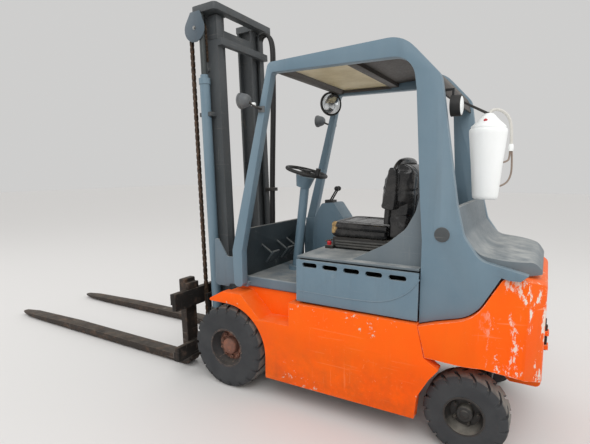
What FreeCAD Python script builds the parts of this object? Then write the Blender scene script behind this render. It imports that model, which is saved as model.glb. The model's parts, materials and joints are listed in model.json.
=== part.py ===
import FreeCAD, Part
import math
import os
from FreeCAD import Placement, Rotation, Vector

# Counterbalanced electric fork truck, +X towards the forks, +Y to the driver's left, +Z up.
# The origin is on the ground, under the middle of the overall length.
# Stations along X are measured forward from the front axle and moved by front_axle_x.

doc = FreeCAD.newDocument("ForkTruck")

SIZES = (
    ("front_axle_x", -468.0),
    ("wheelbase", 1611.0),
    ("front_tyre_r", 292.0),
    ("front_tyre_width", 225.0),
    ("front_tyre_outer_y", 600.0),
    ("front_rim_r", 140.0),
    ("rear_tyre_r", 225.0),
    ("rear_tyre_width", 173.0),
    ("rear_tyre_outer_y", 554.0),
    ("rear_rim_r", 110.0),
    ("kingpin_y", 335.0),
    ("axle_sleeve_r", 75.0),
    ("rest_lean", 2.5),
    ("mast_bottom", 130.0),
    ("outer_top", 2550.0),
    ("outer_rear_x", 167.0),
    ("channel_depth", 150.0),
    ("channel_width", 60.0),
    ("channel_thick", 18.0),
    ("outer_half_width", 305.0),
    ("inner_offset", 30.0),
    ("inner_half_width", 240.0),
    ("crosshead_bottom", 2735.0),
    ("crosshead_thick", 52.0),
    ("crosshead_half_width", 376.0),
    ("lift_tube_r", 38.0),
    ("lift_rod_r", 22.0),
    ("lift_tube_x", 273.0),
    ("lift_tube_y", 352.0),
    ("lift_tube_bottom", 500.0),
    ("lift_tube_top", 2262.0),
    ("sheave_x", 341.0),
    ("sheave_z", 2632.0),
    ("sheave_pitch_r", 68.0),
    ("chain_y", 318.0),
    ("chain_width", 20.0),
    ("chain_thick", 16.0),
    ("bar_half_width", 590.0),
    ("bar_rear_x", 423.0),
    ("bar_depth", 51.0),
    ("side_shift", 60.0),
    ("fork_width", 120.0),
    ("fork_thick", 57.0),
    ("fork_tip_x", 2940.0),
    ("fork_ground_gap", 12.0),
    ("fork_spread", 373.5),
    ("tilt_y", 272.0),
    ("panel_outer_y", 590.0),
    ("panel_depth", 70.0),
    ("shelf_depth", 160.0),
    ("panel_thick", 8.0),
    ("cover_outer_y", 568.0),
    ("cover_thick", 18.0),
    ("guard_outer_y", 550.0),
    ("guard_thick", 60.0),
    ("deck_bottom", 1002.0),
    ("deck_thick", 14.0),
    ("floor_top", 785.0),
    ("seam_x", -1350.0),
    ("rear_end_x", -1966.0),
    ("steering_wheel_r", 165.0),
)

sheet = doc.addObject("Spreadsheet::Sheet", "Sizes")
for row, (alias, value) in enumerate(SIZES, 1):
    sheet.set(f"A{row}", alias)
    sheet.set(f"B{row}", str(value))
    sheet.setAlias(f"B{row}", alias)
doc.recompute()


def size(alias):
    return float(sheet.get(alias))


AXLE_X = size("front_axle_x")
AXLE_Z = size("front_tyre_r")
REAR_X = AXLE_X - size("wheelbase")
REAR_Z = size("rear_tyre_r")
SIDES = (("left", 1), ("right", -1))
ALONG_X = Rotation(Vector(0, 1, 0), 90)
LEAN = Placement(Vector(0, 0, 0), Rotation(Vector(0, 1, 0), size("rest_lean")), Vector(AXLE_X, 0, AXLE_Z))
nodes = []


def node(item, label, placement=None):
    """Registers a finished sub-part under its node name."""
    item.Label = label
    if placement is not None:
        item.Placement = placement
    nodes.append(item)
    return item


def outline(points):
    """Closed outline of straight runs; a third value on a point rounds that corner."""
    corners = []
    count = len(points)
    for index, point in enumerate(points):
        here = Vector(point[0], point[1], 0)
        before = Vector(points[index - 1][0], points[index - 1][1], 0)
        after = Vector(points[(index + 1) % count][0], points[(index + 1) % count][1], 0)
        if len(point) < 3:
            corners.append((here, None, here))
            continue
        back = (before - here).normalize()
        onward = (after - here).normalize()
        half = back.getAngle(onward) / 2
        reach = point[2] / math.tan(half)
        centre = here + (back + onward).normalize() * (point[2] / math.sin(half))
        middle = centre + (here - centre).normalize() * point[2]
        corners.append((here + back * reach, middle, here + onward * reach))
    edges = []
    for index, (start, middle, finish) in enumerate(corners):
        if middle is not None:
            edges.append(Part.Arc(start, middle, finish))
        following = corners[(index + 1) % count][0]
        if (following - finish).Length > 1e-4:
            edges.append(Part.LineSegment(finish, following))
    return edges


def station(points):
    """Moves an outline measured from the front axle into the truck's own X."""
    return [(point[0] + AXLE_X,) + tuple(point[1:]) for point in points]


def sketched(name, plane, loops, offset):
    """A body with one sketch on its own origin plane, moved along the plane's normal."""
    body = doc.addObject("PartDesign::Body", name)
    sketch = body.newObject("Sketcher::SketchObject", name + "Sketch")
    support = [item for item in body.Origin.OriginFeatures if item.Role == plane][0]
    sketch.AttachmentSupport = (support, [""])
    sketch.MapMode = "FlatFace"
    sketch.AttachmentOffset = Placement(Vector(0, 0, offset), Rotation())
    for loop in loops:
        sketch.addGeometry(outline(loop), False)
    return body, sketch


def pad(name, plane, loops, offset, length):
    """Pads one sketch by a length, which is a number or an expression."""
    body, sketch = sketched(name, plane, loops, offset)
    feature = body.newObject("PartDesign::Pad", name + "Pad")
    feature.Profile = sketch
    if isinstance(length, str):
        feature.setExpression("Length", length)
    else:
        feature.Length = length
    sketch.Visibility = False
    return body


def across(name, points, low_y, high_y, holes=()):
    """A plate whose outline lies in X and Z and whose thickness runs along Y."""
    loops = [station(points)] + [station(hole) for hole in holes]
    return pad(name, "XZ_Plane", loops, -high_y, high_y - low_y)


def upward(name, points, low_z, high_z):
    """A prism whose plan outline lies in X and Y."""
    return pad(name, "XY_Plane", [station(points)], low_z, high_z - low_z)


def forward(name, points, low_x, high_x):
    """A prism whose outline lies in Y and Z and which runs along X."""
    return pad(name, "YZ_Plane", [points], low_x + AXLE_X, high_x - low_x)


def turned(name, points, centre):
    """A ring turned about the Y axis through a centre; points are radius and place along Y."""
    body, sketch = sketched(name, "YZ_Plane", [[(place, radius) + tuple(rest) for radius, place, *rest in points]], 0)
    feature = body.newObject("PartDesign::Revolution", name + "Turn")
    feature.Profile = sketch
    feature.ReferenceAxis = (sketch, ["H_Axis"])
    feature.Angle = 360
    sketch.Visibility = False
    body.Placement = Placement(centre, Rotation())
    return body


def box(name, low, high):
    """A block between two corners, X measured from the front axle."""
    item = doc.addObject("Part::Box", name)
    item.Length = high[0] - low[0]
    item.Width = high[1] - low[1]
    item.Height = high[2] - low[2]
    item.Placement = Placement(Vector(low[0] + AXLE_X, low[1], low[2]), Rotation())
    return item


def rod(name, radius, start, finish):
    """A round bar between two points, X measured from the front axle."""
    begin = Vector(start[0] + AXLE_X, start[1], start[2])
    end = Vector(finish[0] + AXLE_X, finish[1], finish[2])
    item = doc.addObject("Part::Cylinder", name)
    if isinstance(radius, str):
        item.setExpression("Radius", radius)
    else:
        item.Radius = radius
    item.Height = (end - begin).Length
    item.Placement = Placement(begin, Rotation(Vector(0, 0, 1), end - begin))
    return item


def fuse(name, items):
    item = doc.addObject("Part::MultiFuse", name)
    item.Shapes = items
    item.Refine = True
    return item


def cut(name, base, tools):
    tool = tools[0] if len(tools) == 1 else fuse(name + "Tools", tools)
    item = doc.addObject("Part::Cut", name)
    item.Base = base
    item.Tool = tool
    item.Refine = True
    return item


def side_range(side, near, far):
    """Low and high Y of a band between two distances from the middle plane."""
    return (near, far) if side > 0 else (-far, -near)


# Front wheels: solid tyres on deep steel rims with a domed hub and a ring of nuts

def front_wheels():
    outer_y = size("front_tyre_outer_y")
    inner_y = outer_y - size("front_tyre_width")
    tyre_r = size("front_tyre_r")
    rim_r = size("front_rim_r")
    for name, side in SIDES:
        centre = Vector(AXLE_X, 0, AXLE_Z)
        tyre = turned("FrontTyre" + name, [
            (rim_r, side * inner_y), (tyre_r - 45, side * inner_y, 30), (tyre_r, side * (inner_y + 22), 22),
            (tyre_r, side * (outer_y - 22), 22), (tyre_r - 45, side * outer_y, 30), (rim_r, side * outer_y)], centre)
        node(tyre, "front_tyre_" + name)
        barrel = turned("FrontRim" + name, [
            (31, side * 500), (112, side * 500), (126, side * 470), (126, side * (inner_y + 2)),
            (rim_r, side * (inner_y + 2)), (rim_r, side * (outer_y - 2)), (rim_r - 10, side * (outer_y - 2)),
            (rim_r - 14, side * 560), (112, side * 520), (62, side * 520), (58, side * 566, 16), (31, side * 574)],
            centre)
        nuts = []
        for index in range(8):
            angle = math.radians(45 * index)
            place = (86 * math.cos(angle), 0, AXLE_Z + 86 * math.sin(angle))
            nuts.append(rod(f"FrontNut{name}{index}", 9, (place[0], side * 519, place[2]),
                            (place[0], side * 534, place[2])))
        node(fuse("FrontRimFused" + name, [barrel] + nuts), "front_rim_" + name)


# Rear wheels on steered knuckles, each turning about its own kingpin

def rear_wheels():
    outer_y = size("rear_tyre_outer_y")
    inner_y = outer_y - size("rear_tyre_width")
    tyre_r = size("rear_tyre_r")
    rim_r = size("rear_rim_r")
    pin_y = size("kingpin_y")
    back = -size("wheelbase")
    for name, side in SIDES:
        centre = Vector(REAR_X, 0, REAR_Z)
        tyre = turned("RearTyre" + name, [
            (rim_r, side * inner_y), (tyre_r - 34, side * inner_y, 20), (tyre_r, side * (inner_y + 18), 16),
            (tyre_r, side * (outer_y - 18), 16), (tyre_r - 34, side * outer_y, 20), (rim_r, side * outer_y)], centre)
        node(tyre, "rear_tyre_" + name)
        rim = turned("RearRim" + name, [
            (23, side * 470), (84, side * 470), (98, side * 452), (98, side * (inner_y + 2)),
            (rim_r, side * (inner_y + 2)), (rim_r, side * (outer_y - 2)), (rim_r - 9, side * (outer_y - 2)),
            (rim_r - 14, side * 520), (80, side * 486), (48, side * 486), (44, side * 524, 10), (23, side * 528)],
            centre)
        node(rim, "rear_rim_" + name)
        boss = rod("KnuckleBoss" + name, 33, (back, side * pin_y, 175), (back, side * pin_y, 275))
        spindle = rod("KnuckleSpindle" + name, 22.5, (back, side * (pin_y + 10), REAR_Z), (back, side * 522, REAR_Z))
        flange = rod("KnuckleFlange" + name, 42, (back, side * (pin_y + 28), REAR_Z), (back, side * 400, REAR_Z))
        whole = fuse("KnuckleWhole" + name, [boss, spindle, flange])
        bore = rod("KnuckleBore" + name, 15.5, (back, side * pin_y, 170), (back, side * pin_y, 280))
        node(cut("Knuckle" + name, whole, [bore]), "knuckle_" + name)


def steer_axle():
    pin_y = size("kingpin_y")
    back = -size("wheelbase")
    pieces = [box("SteerBeam", (back - 32, -285, 185), (back + 32, 285, 265)),
              box("SteerCentre", (back - 60, -95, 165), (back + 60, 95, 300))]
    for name, side in SIDES:
        low, high = side_range(side, 255, pin_y)
        for part, bottom, top in (("Upper", 280, 300), ("Lower", 150, 170)):
            pieces.append(box("SteerYoke" + part + name, (back - 30, low, bottom), (back + 30, high, top)))
            pieces.append(rod("SteerYokeEnd" + part + name, 32, (back, side * pin_y, bottom),
                              (back, side * pin_y, top)))
        web_low, web_high = side_range(side, 255, 285)
        pieces.append(box("SteerYokeWeb" + name, (back - 30, web_low, 150), (back + 30, web_high, 300)))
        pieces.append(rod("Kingpin" + name, 15, (back, side * pin_y, 150), (back, side * pin_y, 308)))
    bore = rod("SteerPivotBore", 22.3, (back - 70, 0, 250), (back + 70, 0, 250))
    node(cut("SteerAxle", fuse("SteerAxleWhole", pieces), [bore]), "steer_axle")


def drive_axle():
    sleeve_r = size("axle_sleeve_r")
    pieces = [rod("AxleSleeve", "Sizes.axle_sleeve_r", (0, -372, AXLE_Z), (0, 372, AXLE_Z)),
              rod("AxleHousing", 128, (0, -150, AXLE_Z), (0, 150, AXLE_Z)),
              rod("DriveMotor", 95, (-40, 0, AXLE_Z + 10), (-330, 0, AXLE_Z + 60))]
    for name, side in SIDES:
        pieces.append(rod("AxleTaper" + name, sleeve_r + 22, (0, side * 150, AXLE_Z), (0, side * 190, AXLE_Z)))
        pieces.append(rod("AxleHub" + name, 92, (0, side * 380, AXLE_Z), (0, side * 462, AXLE_Z)))
        pieces.append(rod("AxleNeck" + name, 70, (0, side * 372, AXLE_Z), (0, side * 380, AXLE_Z)))
        pieces.append(rod("AxleSpindle" + name, 30, (0, side * 460, AXLE_Z), (0, side * 560, AXLE_Z)))
    node(fuse("DriveAxle", pieces), "drive_axle")


# Chassis: welded plates round the battery, with front members that hold the drive axle

def frame():
    members = []
    tilt_y = size("tilt_y")
    for name, side in SIDES:
        low, high = side_range(side, 335, 362)
        members.append(across("FrontMember" + name, [(-565, 190), (40, 190, 60), (105, 260, 40), (105, 560, 60),
                                                     (20, 735), (-565, 735)], low, high))
        low, high = side_range(side, 495, 511)
        members.append(box("BatterySide" + name, (-1288, low, 172), (-562, high, 720)))
        members.append(box("BatteryFoot" + name, (-1288, low, 160), (-562, high, 172)))
        low, high = side_range(side, 362, 420)
        members.append(box("SillRail" + name, (-562, low, 690), (-60, high, 730)))
        for part, edge in (("Inner", tilt_y - 32), ("Outer", tilt_y + 24)):
            low, high = side_range(side, edge, edge + 8)
            members.append(across("TiltBracket" + part + name, [(-564, 530), (-472, 560, 24), (-472, 640, 24),
                                                                (-564, 670)], low, high))
        members.append(rod("TiltPin" + name, 12, (-500, side * (tilt_y - 32), 600), (-500, side * (tilt_y + 32), 600)))
    plates = [box("FrontCross", (-576, -520, 172), (-562, 520, 990)),
              box("FloorCross", (-200, -335, 690), (-170, 335, 730)),
              box("BatteryFloor", (-1288, -495, 160), (-562, 495, 172)),
              box("RearCross", (-1288, -511, 172), (-1272, 511, 720)),
              box("RearBeam", (-1720, -118, 330), (-1288, 118, 470)),
              box("TrunnionRear", (-1700, -70, 232), (-1676, 70, 330)),
              box("TrunnionFront", (-1546, -70, 232), (-1522, 70, 330)),
              rod("TrunnionPin", 22, (-1700, 0, 250), (-1522, 0, 250))]
    hole = rod("FrameAxleHole", size("axle_sleeve_r") + 0.6, (0, -400, AXLE_Z), (0, 400, AXLE_Z))
    node(cut("Frame", fuse("FrameWhole", members + plates), [hole]), "frame")


def battery():
    node(box("Battery", (-1262, -485, 172), (-585, 485, 900)), "battery")


# Lower body sides: one pressing each, folded inwards all round, with the front mudguard

def side_panels():
    outer = size("panel_outer_y")
    depth = size("panel_depth")
    shelf = size("shelf_depth")
    wall = size("panel_thick")
    seam = size("seam_x")
    for name, side in SIDES:
        skin = [(-336, 151), (-336, 622, 330), (178, 622, 10), (31, 704, 30), (-130, 704, 20), (-288, 549, 20),
                (-520, 549), (-520, 706), (seam, 711), (-1393, 526), (-1476, 474, 6), (-1425, 406, 60),
                (-1362, 290, 60), (seam, 156)]
        inner = [(-344, 159), (-344, 630, 338), (152, 630), (29, 696, 24), (-127, 696, 16), (-285, 541, 16),
                 (-528, 541), (-528, 698), (seam + 8, 703), (-1387, 519), (-1460, 471), (-1418, 410, 60),
                 (-1354, 292, 60), (seam + 8, 164)]
        low, high = side_range(side, outer - depth, outer)
        solid = across("PanelSolid" + name, skin, low, high)
        low, high = side_range(side, outer - depth - 10, outer - wall)
        shell = cut("PanelShell" + name, solid, [across("PanelHollow" + name, inner, low, high)])
        low, high = side_range(side, outer - shelf, outer - depth)
        tread = across("PanelTread" + name, [(0, 696), (0, 704), (-130, 704, 20), (-288, 549, 20), (-528, 549),
                                             (-528, 541), (-285, 541, 16), (-127, 696, 16)], low, high)
        end = box("PanelStepEnd" + name, (-528, low, 549), (-520, high, 706))
        low, high = side_range(side, outer - shelf - wall, outer - shelf)
        inner_wall = across("PanelWall" + name, [(-528, 541), (-285, 541, 16), (-127, 696, 16), (0, 696), (0, 724),
                                                 (-528, 724)], low, high)
        node(fuse("SidePanel" + name, [shell, tread, end, inner_wall]), "side_panel_" + name)


def counterweight():
    seam = size("seam_x") - 5
    rear = size("rear_end_x")
    plan = upward("CounterPlan", [
        (seam + 5, 590), (-1600, 590, 300), (-1884, 492, 30), (rear, 380, 60),
        (rear, -380, 60), (-1884, -492, 30), (-1600, -590, 300), (seam + 5, -590)], 440, 1040)
    profile = across("CounterSide", [
        (-1398, 531), (seam, 704), (-1450, 735, 200), (-1642, 788, 200), (-1766, 1010, 30), (-1856, 1010, 60),
        (rear, 968, 30), (rear, 440), (-1870, 480), (-1690, 520)], -600, 600)
    body = doc.addObject("Part::Common", "CounterBody")
    body.Base = plan
    body.Tool = profile
    body.Refine = True
    boss = across("CounterBoss", [(-1760, 470), (-1760, 330, 30), (-1800, 290, 20), (rear, 290, 30), (rear, 560),
                                  (-1800, 560)], -118, 118)
    lugs = [box("TowLug" + part, (rear - 26, -30, low), (rear + 10, 30, low + 26))
            for part, low in (("Lower", 494), ("Upper", 580))]
    beam = box("CounterBeamSlot", (-1720, -118, 200), (-1200, 118, 470))
    mouth = box("TowMouth", (rear - 0.1, -45, 520), (rear + 70, 45, 580))
    pin_bore = rod("TowBore", 13.2, (rear - 6, 0, 470), (rear - 6, 0, 700))
    pocket = across("CounterPocket", [(seam + 20, 600), (-1560, 600), (-1560, 900), (-1700, 1100), (seam + 20, 1100)],
                    -480, 480)
    whole = fuse("CounterWhole", [body, boss] + lugs)
    node(cut("Counterweight", whole, [beam, mouth, pin_bore, pocket]), "counterweight")


def tow_pin():
    place = size("rear_end_x") - 6
    pin = rod("TowPinShank", 13, (place, 0, 484), (place, 0, 640))
    grip = doc.addObject("Part::Torus", "TowPinGrip")
    grip.Radius1 = 20
    grip.Radius2 = 5
    grip.Placement = Placement(Vector(place + AXLE_X, 0, 656), ALONG_X)
    node(fuse("TowPin", [pin, grip]), "tow_pin")


# Driver's place: floor with side sills, front cowl plates, bulkhead, console and column

def cab_tub():
    top = size("floor_top")
    pieces = [box("FloorPlate", (-561, -432, top - 12), (-40, 432, top))]
    for name, side in SIDES:
        pieces.append(forward("Sill" + name, [(side * 431, 731), (side * 450, 731, 8), (side * 450, 803, 12),
                                              (side * 431, 803)], -561, -52))
        low, high = side_range(side, 468, 480)
        pieces.append(across("CowlPlate" + name, [(-46, 735), (-46, 935), (70, 935, 20), (150, 1060, 16),
                                                  (182, 1060, 12), (182, 712, 30), (60, 712), (40, 735)], low, high))
        low, high = side_range(side, 445, 490)
        pieces.append(box("CowlFoot" + name, (-120, low, 735), (-40, high, 765)))
    pieces.append(box("CowlFront", (-52, -470, 735), (-40, 470, 785)))
    node(fuse("CabTub", pieces), "cab_tub")


def bulkhead():
    panel = across("BulkheadPanel", [(-50, 785), (-18, 785), (-48, 1142), (-72, 1142, 6)], -462, 462)
    pieces = [panel]
    for index, place in enumerate((175, -40, -190)):
        foot = doc.addObject("Part::Box", f"PedalPad{index}")
        foot.Length = 12
        foot.Width = 85
        foot.Height = 110
        foot.Placement = Placement(Vector(AXLE_X - 130, place, 870), Rotation(Vector(0, 1, 0), -38))
        pieces.append(foot)
        pieces.append(rod(f"PedalStem{index}", 9, (-172, place + 42, 922), (-38, place + 42, 1010)))
    node(fuse("Bulkhead", pieces), "bulkhead")


def steering():
    tilt = 9.0
    hub = Vector(AXLE_X - 335, 10, 1548)
    axis = Rotation(Vector(0, 1, 0), -tilt - 6).multVec(Vector(0, 0, 1))
    column = [rod("ColumnTube", 34, (-247, 10, 800), (-322, 10, 1440)),
              rod("ColumnFoot", 60, (-246, 10, 785), (-246, 10, 815))]
    head = doc.addObject("Part::Cone", "ColumnShroud")
    head.Radius1 = 52
    head.Radius2 = 74
    head.Height = 85.7
    head.Placement = Placement(hub - axis * 118, Rotation(Vector(0, 0, 1), axis))
    node(fuse("SteeringColumn", column + [head]), "steering_column")
    wheel_r = size("steering_wheel_r")
    rim = doc.addObject("Part::Torus", "WheelRim")
    rim.setExpression("Radius1", "Sizes.steering_wheel_r - 13")
    rim.Radius2 = 13
    rim.Placement = Placement(hub, Rotation(Vector(0, 0, 1), axis))
    centre = doc.addObject("Part::Cylinder", "WheelHub")
    centre.Radius = 32
    centre.Height = 48
    centre.Placement = Placement(hub - axis * 32, Rotation(Vector(0, 0, 1), axis))
    pieces = [rim, centre]
    for index in range(3):
        spoke = doc.addObject("Part::Box", f"WheelSpoke{index}")
        spoke.Length = wheel_r - 13
        spoke.Width = 26
        spoke.Height = 9
        turn = Rotation(Vector(0, 0, 1), axis) * Rotation(Vector(0, 0, 1), 90 + 120 * index)
        spoke.Placement = Placement(hub + turn.multVec(Vector(0, -13, -6)), turn)
        pieces.append(spoke)
    turn = Rotation(Vector(0, 0, 1), axis) * Rotation(Vector(0, 0, 1), 150)
    knob = doc.addObject("Part::Cylinder", "WheelKnob")
    knob.Radius = 18
    knob.Height = 52
    knob.Placement = Placement(hub + turn.multVec(Vector(wheel_r - 13, 0, 8)), Rotation(Vector(0, 0, 1), axis))
    pieces.append(knob)
    node(fuse("SteeringWheel", pieces), "steering_wheel")


def side_console():
    side_view = [(-240, 785), (-260, 1160), (-330, 1290, 30), (-436, 1300, 30), (-524, 1180, 20), (-524, 785)]
    wall = across("ConsoleWall", [(-80, 806), (-80, 1140), (-490, 1172, 20), (-524, 1172), (-524, 806)], -467, -452)
    tower = across("ConsoleBox", side_view, -430, -262)
    wing = across("ConsoleWing", [(-240, 806)] + side_view[1:5] + [(-524, 806)], -453, -429)
    node(fuse("SideConsole", [wall, tower, wing]), "side_console")
    levers = [box("LeverBlock", (-420, -360, 1292), (-350, -280, 1318))]
    for index, place in enumerate((-300, -340)):
        levers.append(rod(f"LeverStem{index}", 6, (-385, place, 1310), (-440, place, 1400)))
        knob = doc.addObject("Part::Sphere", f"LeverKnob{index}")
        knob.Radius = 20
        knob.Placement = Placement(Vector(AXLE_X - 446, place, 1412), Rotation())
        levers.append(knob)
    cutter = across("LeverSeat", side_view, -430, -262)
    node(cut("LeverSet", fuse("LeverWhole", levers), [cutter]), "lever_set")


# Side covers under the battery lid, each with five slots

def side_covers():
    outer = size("cover_outer_y")
    thick = size("cover_thick")
    seam = size("seam_x") + 4
    for name, side in SIDES:
        low, high = side_range(side, outer - thick, outer)
        slots = []
        for index in range(5):
            middle = -661 - 141.5 * index
            level = 966 - 2.5 * index
            slots.append([(middle - 52, level - 15, 14.9), (middle + 52, level - 15, 14.9),
                          (middle + 52, level + 15, 14.9), (middle - 52, level + 15, 14.9)])
        cover = across("CoverPlate" + name, [(-567, 724, 8), (-567, 996), (seam, 996), (seam, 724)], low, high, slots)
        low, high = side_range(side, 520, outer - thick)
        front_return = box("CoverReturn" + name, (-577, low, 724), (-567, high, 996))
        node(fuse("SideCover" + name, [cover, front_return]), "side_cover_" + name)


# Battery lid: deck, raised side bolsters and rear arms to the hinge behind the seat

def battery_lid():
    low_z = size("deck_bottom")
    high_z = low_z + size("deck_thick")
    deck = box("LidDeck", (-1342, -545, low_z), (-560, 545, high_z))
    pieces = [deck]
    for name, side in SIDES:
        low, high = side_range(side, 452, 484)
        pieces.append(across("LidBolster" + name, [(-905, high_z - 4), (-1128, 1130, 200), (-1243, 1228, 120),
                                                   (-1296, 1330, 60), (-1318, 1426), (-1342, 1426),
                                                   (-1342, high_z - 4)], low, high))
        low, high = side_range(side, 462, 484)
        pieces.append(across("LidArm" + name, [(-1336, high_z), (-1336, 1256, 30), (-1492, 1256, 34),
                                               (-1492, 1186, 34), (-1400, 1150, 20), (-1342, high_z)], low, high))
    bores = [rod("LidBore" + name, 13, (-1458, side * 450, 1220), (-1458, side * 487, 1220)) for name, side in SIDES]
    node(cut("BatteryLid", fuse("LidWhole", pieces), bores), "battery_lid")


def seat():
    base_top = 1100
    deck = size("deck_bottom") + size("deck_thick")
    rails = [box("SeatRailLeft", (-1040, 130, deck), (-680, 165, deck + 22)),
             box("SeatRailRight", (-1040, -165, deck), (-680, -130, deck + 22)),
             box("SeatPan", (-1175, -200, deck + 22), (-650, 200, base_top))]
    node(fuse("SeatBase", rails), "seat_base")
    cushion = across("SeatCushion", [(-620, 1120, 30), (-624, 1204, 34), (-1060, 1190, 20), (-1066, base_top + 0.4),
                                     (-640, base_top + 0.4)], -245, 245)
    node(cushion, "seat_cushion")
    back = across("SeatBack", [(-1066.3, 1100.4), (-1061, 1180), (-1046, 1240, 40), (-1096, 1600, 40), (-1140, 1640, 40),
                               (-1216, 1600, 60), (-1180, 1101, 20)], -250, 250)
    arm = across("ArmRest", [(-1040, 1310, 20), (-1000, 1320, 20), (-1050, 1600, 24), (-1100, 1600, 20),
                             (-1100, 1310, 10)], 252, 300)
    pivot = rod("ArmPivot", 14, (-1092, 245, 1330), (-1092, 262, 1330))
    node(fuse("SeatBackrest", [back, arm, pivot]), "seat_backrest")


# Overhead guard: one flat-sided frame each side, from the front foot to the rear quarter

def guard():
    outer = size("guard_outer_y")
    thick = size("guard_thick")
    for name, side in SIDES:
        low, high = side_range(side, outer - thick, outer)
        rim = [(-50, 745, 30), (-36, 1000, 60), (-345, 2243, 38), (-1215, 2284, 190), (-1420, 2060, 90),
               (-1528, 1372, 40), (-1566, 1216, 90), (-1650, 1096, 110), (-1880, 1042), (-1846, 1010),
               (-1790, 1010), (-1758, 1019), (-1636, 794, 200), (-1448, 743, 200), (-1352, 710), (-1352, 1180), (-1334, 1400, 60),
               (-1296, 2000), (-1270, 2176, 130), (-372, 2180, 20), (-118, 1000, 60), (-122, 745, 30)]
        frame_side = across("GuardSide" + name, rim, low, high)
        cap_low, cap_high = side_range(side, outer, outer + 5)
        cap = rod("LidPivotCap" + name, 40, (-1458, cap_low, 1220), (-1458, cap_high, 1220))
        low, high = side_range(side, 455, outer - thick + 1)
        pin = rod("LidPivot" + name, 12.5, (-1458, low, 1220), (-1458, high, 1220))
        node(fuse("Guard" + name, [frame_side, cap, pin]), "guard_" + name)


def roof():
    inner = size("guard_outer_y") - size("guard_thick")
    beam = across("RoofFrontBeam", [(-352, 2190, 10), (-352, 2232, 10), (-430, 2236), (-430, 2214), (-400, 2190)],
                  -inner, inner)
    rear_beam = across("RoofMidBeam", [(-820, 2204), (-820, 2250), (-880, 2252), (-880, 2204)], -inner, inner)
    skin = across("RoofSkin", [(-878, 2246), (-1208, 2266, 170), (-1404, 2056, 90), (-1420, 1975), (-1408, 1973),
                               (-1390, 2050, 80), (-1203, 2252, 158), (-878, 2233)], -inner, inner)
    pieces = [beam, rear_beam, skin]
    for name, side in SIDES:
        low, high = side_range(side, inner - 24, inner)
        pieces.append(box("RoofRail" + name, (-822, low, 2196), (-398, high, 2216)))
    node(fuse("Roof", pieces), "roof")
    node(box("RoofPane", (-820, -inner, 2216), (-430, inner, 2224)), "roof_window")


def rear_hood():
    inner = size("guard_outer_y") - size("guard_thick")
    shell = across("HoodShell", [(-1500, 1366), (-1530, 1366), (-1562, 1216, 100), (-1640, 1112, 120), (-1900, 1084, 60),
                                 (-1938, 1034, 20), (-1938, 1012), (-1700, 1014), (-1560, 1014), (-1500, 1200)],
                   -inner, inner)
    plan = upward("HoodPlan", [(-1490, 495), (-1800, 495, 200), (-1945, 330, 120), (-1945, -330, 120),
                               (-1800, -495, 200), (-1490, -495)], 900, 1400)
    item = doc.addObject("Part::Common", "RearHood")
    item.Base = shell
    item.Tool = plan
    item.Refine = True
    node(item, "rear_hood")


# Lamps, mirror and the filler tank that hangs behind the seat

def lamps():
    places = (("left", -232, 2010, 1), ("right", -170, 1995, -1))
    for name, x, z, side in places:
        y = side * 604
        shell = doc.addObject("Part::Cone", "LampShell" + name)
        shell.Radius1 = 48
        shell.Radius2 = 26
        shell.Height = 62
        shell.Placement = Placement(Vector(AXLE_X + x + 50, y, z), Rotation(Vector(0, 0, 1), Vector(-1, 0, 0)))
        bezel = rod("LampBezel" + name, 52, (x + 50, y, z), (x + 64, y, z))
        low, high = side_range(side, 550, 556)
        plate = box("LampPlate" + name, (-320, low, 1935), (-272, high, 1975))
        arm = rod("LampArm" + name, 8, (-293, side * 566, 1957), (x + 14, side * 596, z - 6))
        stub = rod("LampStub" + name, 13, (-296, side * 553, 1956), (-296, side * 574, 1956))
        node(fuse("WorkLamp" + name, [shell, bezel, plate, stub, arm]), "work_lamp_" + name)
    shell = rod("RearLampShell", 58, (-1500, 380, 1915), (-1446, 380, 1915))
    stem = box("RearLampStem", (-1460, 372, 1960), (-1448, 388, 2010))
    hook = across("RearLampHook", [(-1460, 1998), (-1415.6, 1998), (-1413.2, 2010), (-1460, 2010)], 372, 388)
    node(fuse("RearLamp", [shell, stem, hook]), "rear_lamp")


def mirror():
    dome = doc.addObject("Part::Sphere", "MirrorBall")
    dome.Radius = 80
    dome.Placement = Placement(Vector(AXLE_X - 300, -400, 2090), Rotation())
    half = doc.addObject("Part::Common", "MirrorHalf")
    half.Base = dome
    half.Tool = box("MirrorKeep", (-420, -560, 2060), (-300, -300, 2200))
    stem = rod("MirrorStem", 8, (-370, -400, 2115), (-370, -400, 2190))
    node(fuse("Mirror", [half, stem]), "mirror")


def water_tank():
    centre = (-1620, 200)
    body = doc.addObject("Part::Cone", "TankBody")
    body.Radius1 = 68
    body.Radius2 = 108
    body.Height = 400
    body.Placement = Placement(Vector(AXLE_X + centre[0], centre[1], 1395), Rotation())
    lid = doc.addObject("Part::Cone", "TankLid")
    lid.Radius1 = 108
    lid.Radius2 = 20
    lid.Height = 92
    lid.Placement = Placement(Vector(AXLE_X + centre[0], centre[1], 1795), Rotation())
    strap = across("TankStrap", [(centre[0] - 4, 1880), (centre[0] + 4, 1880), (-1424, 1980), (-1424, 1992)], 184, 216)
    hook = across("TankHook", [(-1430, 1978), (-1419.5, 1978), (-1415.2, 2000), (-1430, 2000)], 184, 216)
    node(fuse("WaterTank", [body, lid, strap, hook]), "water_tank")


# Mast: outer beams with the lift cylinders in their outer recess, inner channels, carriage

def channel(name, rear, wide, side, bottom, top):
    """A rolled channel that stands with its web outwards and its flanges towards the middle."""
    thick = size("channel_thick")
    front = rear + size("channel_depth")
    narrow = wide - size("channel_width")
    section = [(rear, wide), (front, wide), (front, narrow), (front - thick, narrow), (front - thick, wide - thick),
               (rear + thick, wide - thick), (rear + thick, narrow), (rear, narrow)]
    return upward(name, [(x, side * y) for x, y in section], bottom, top)


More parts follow.
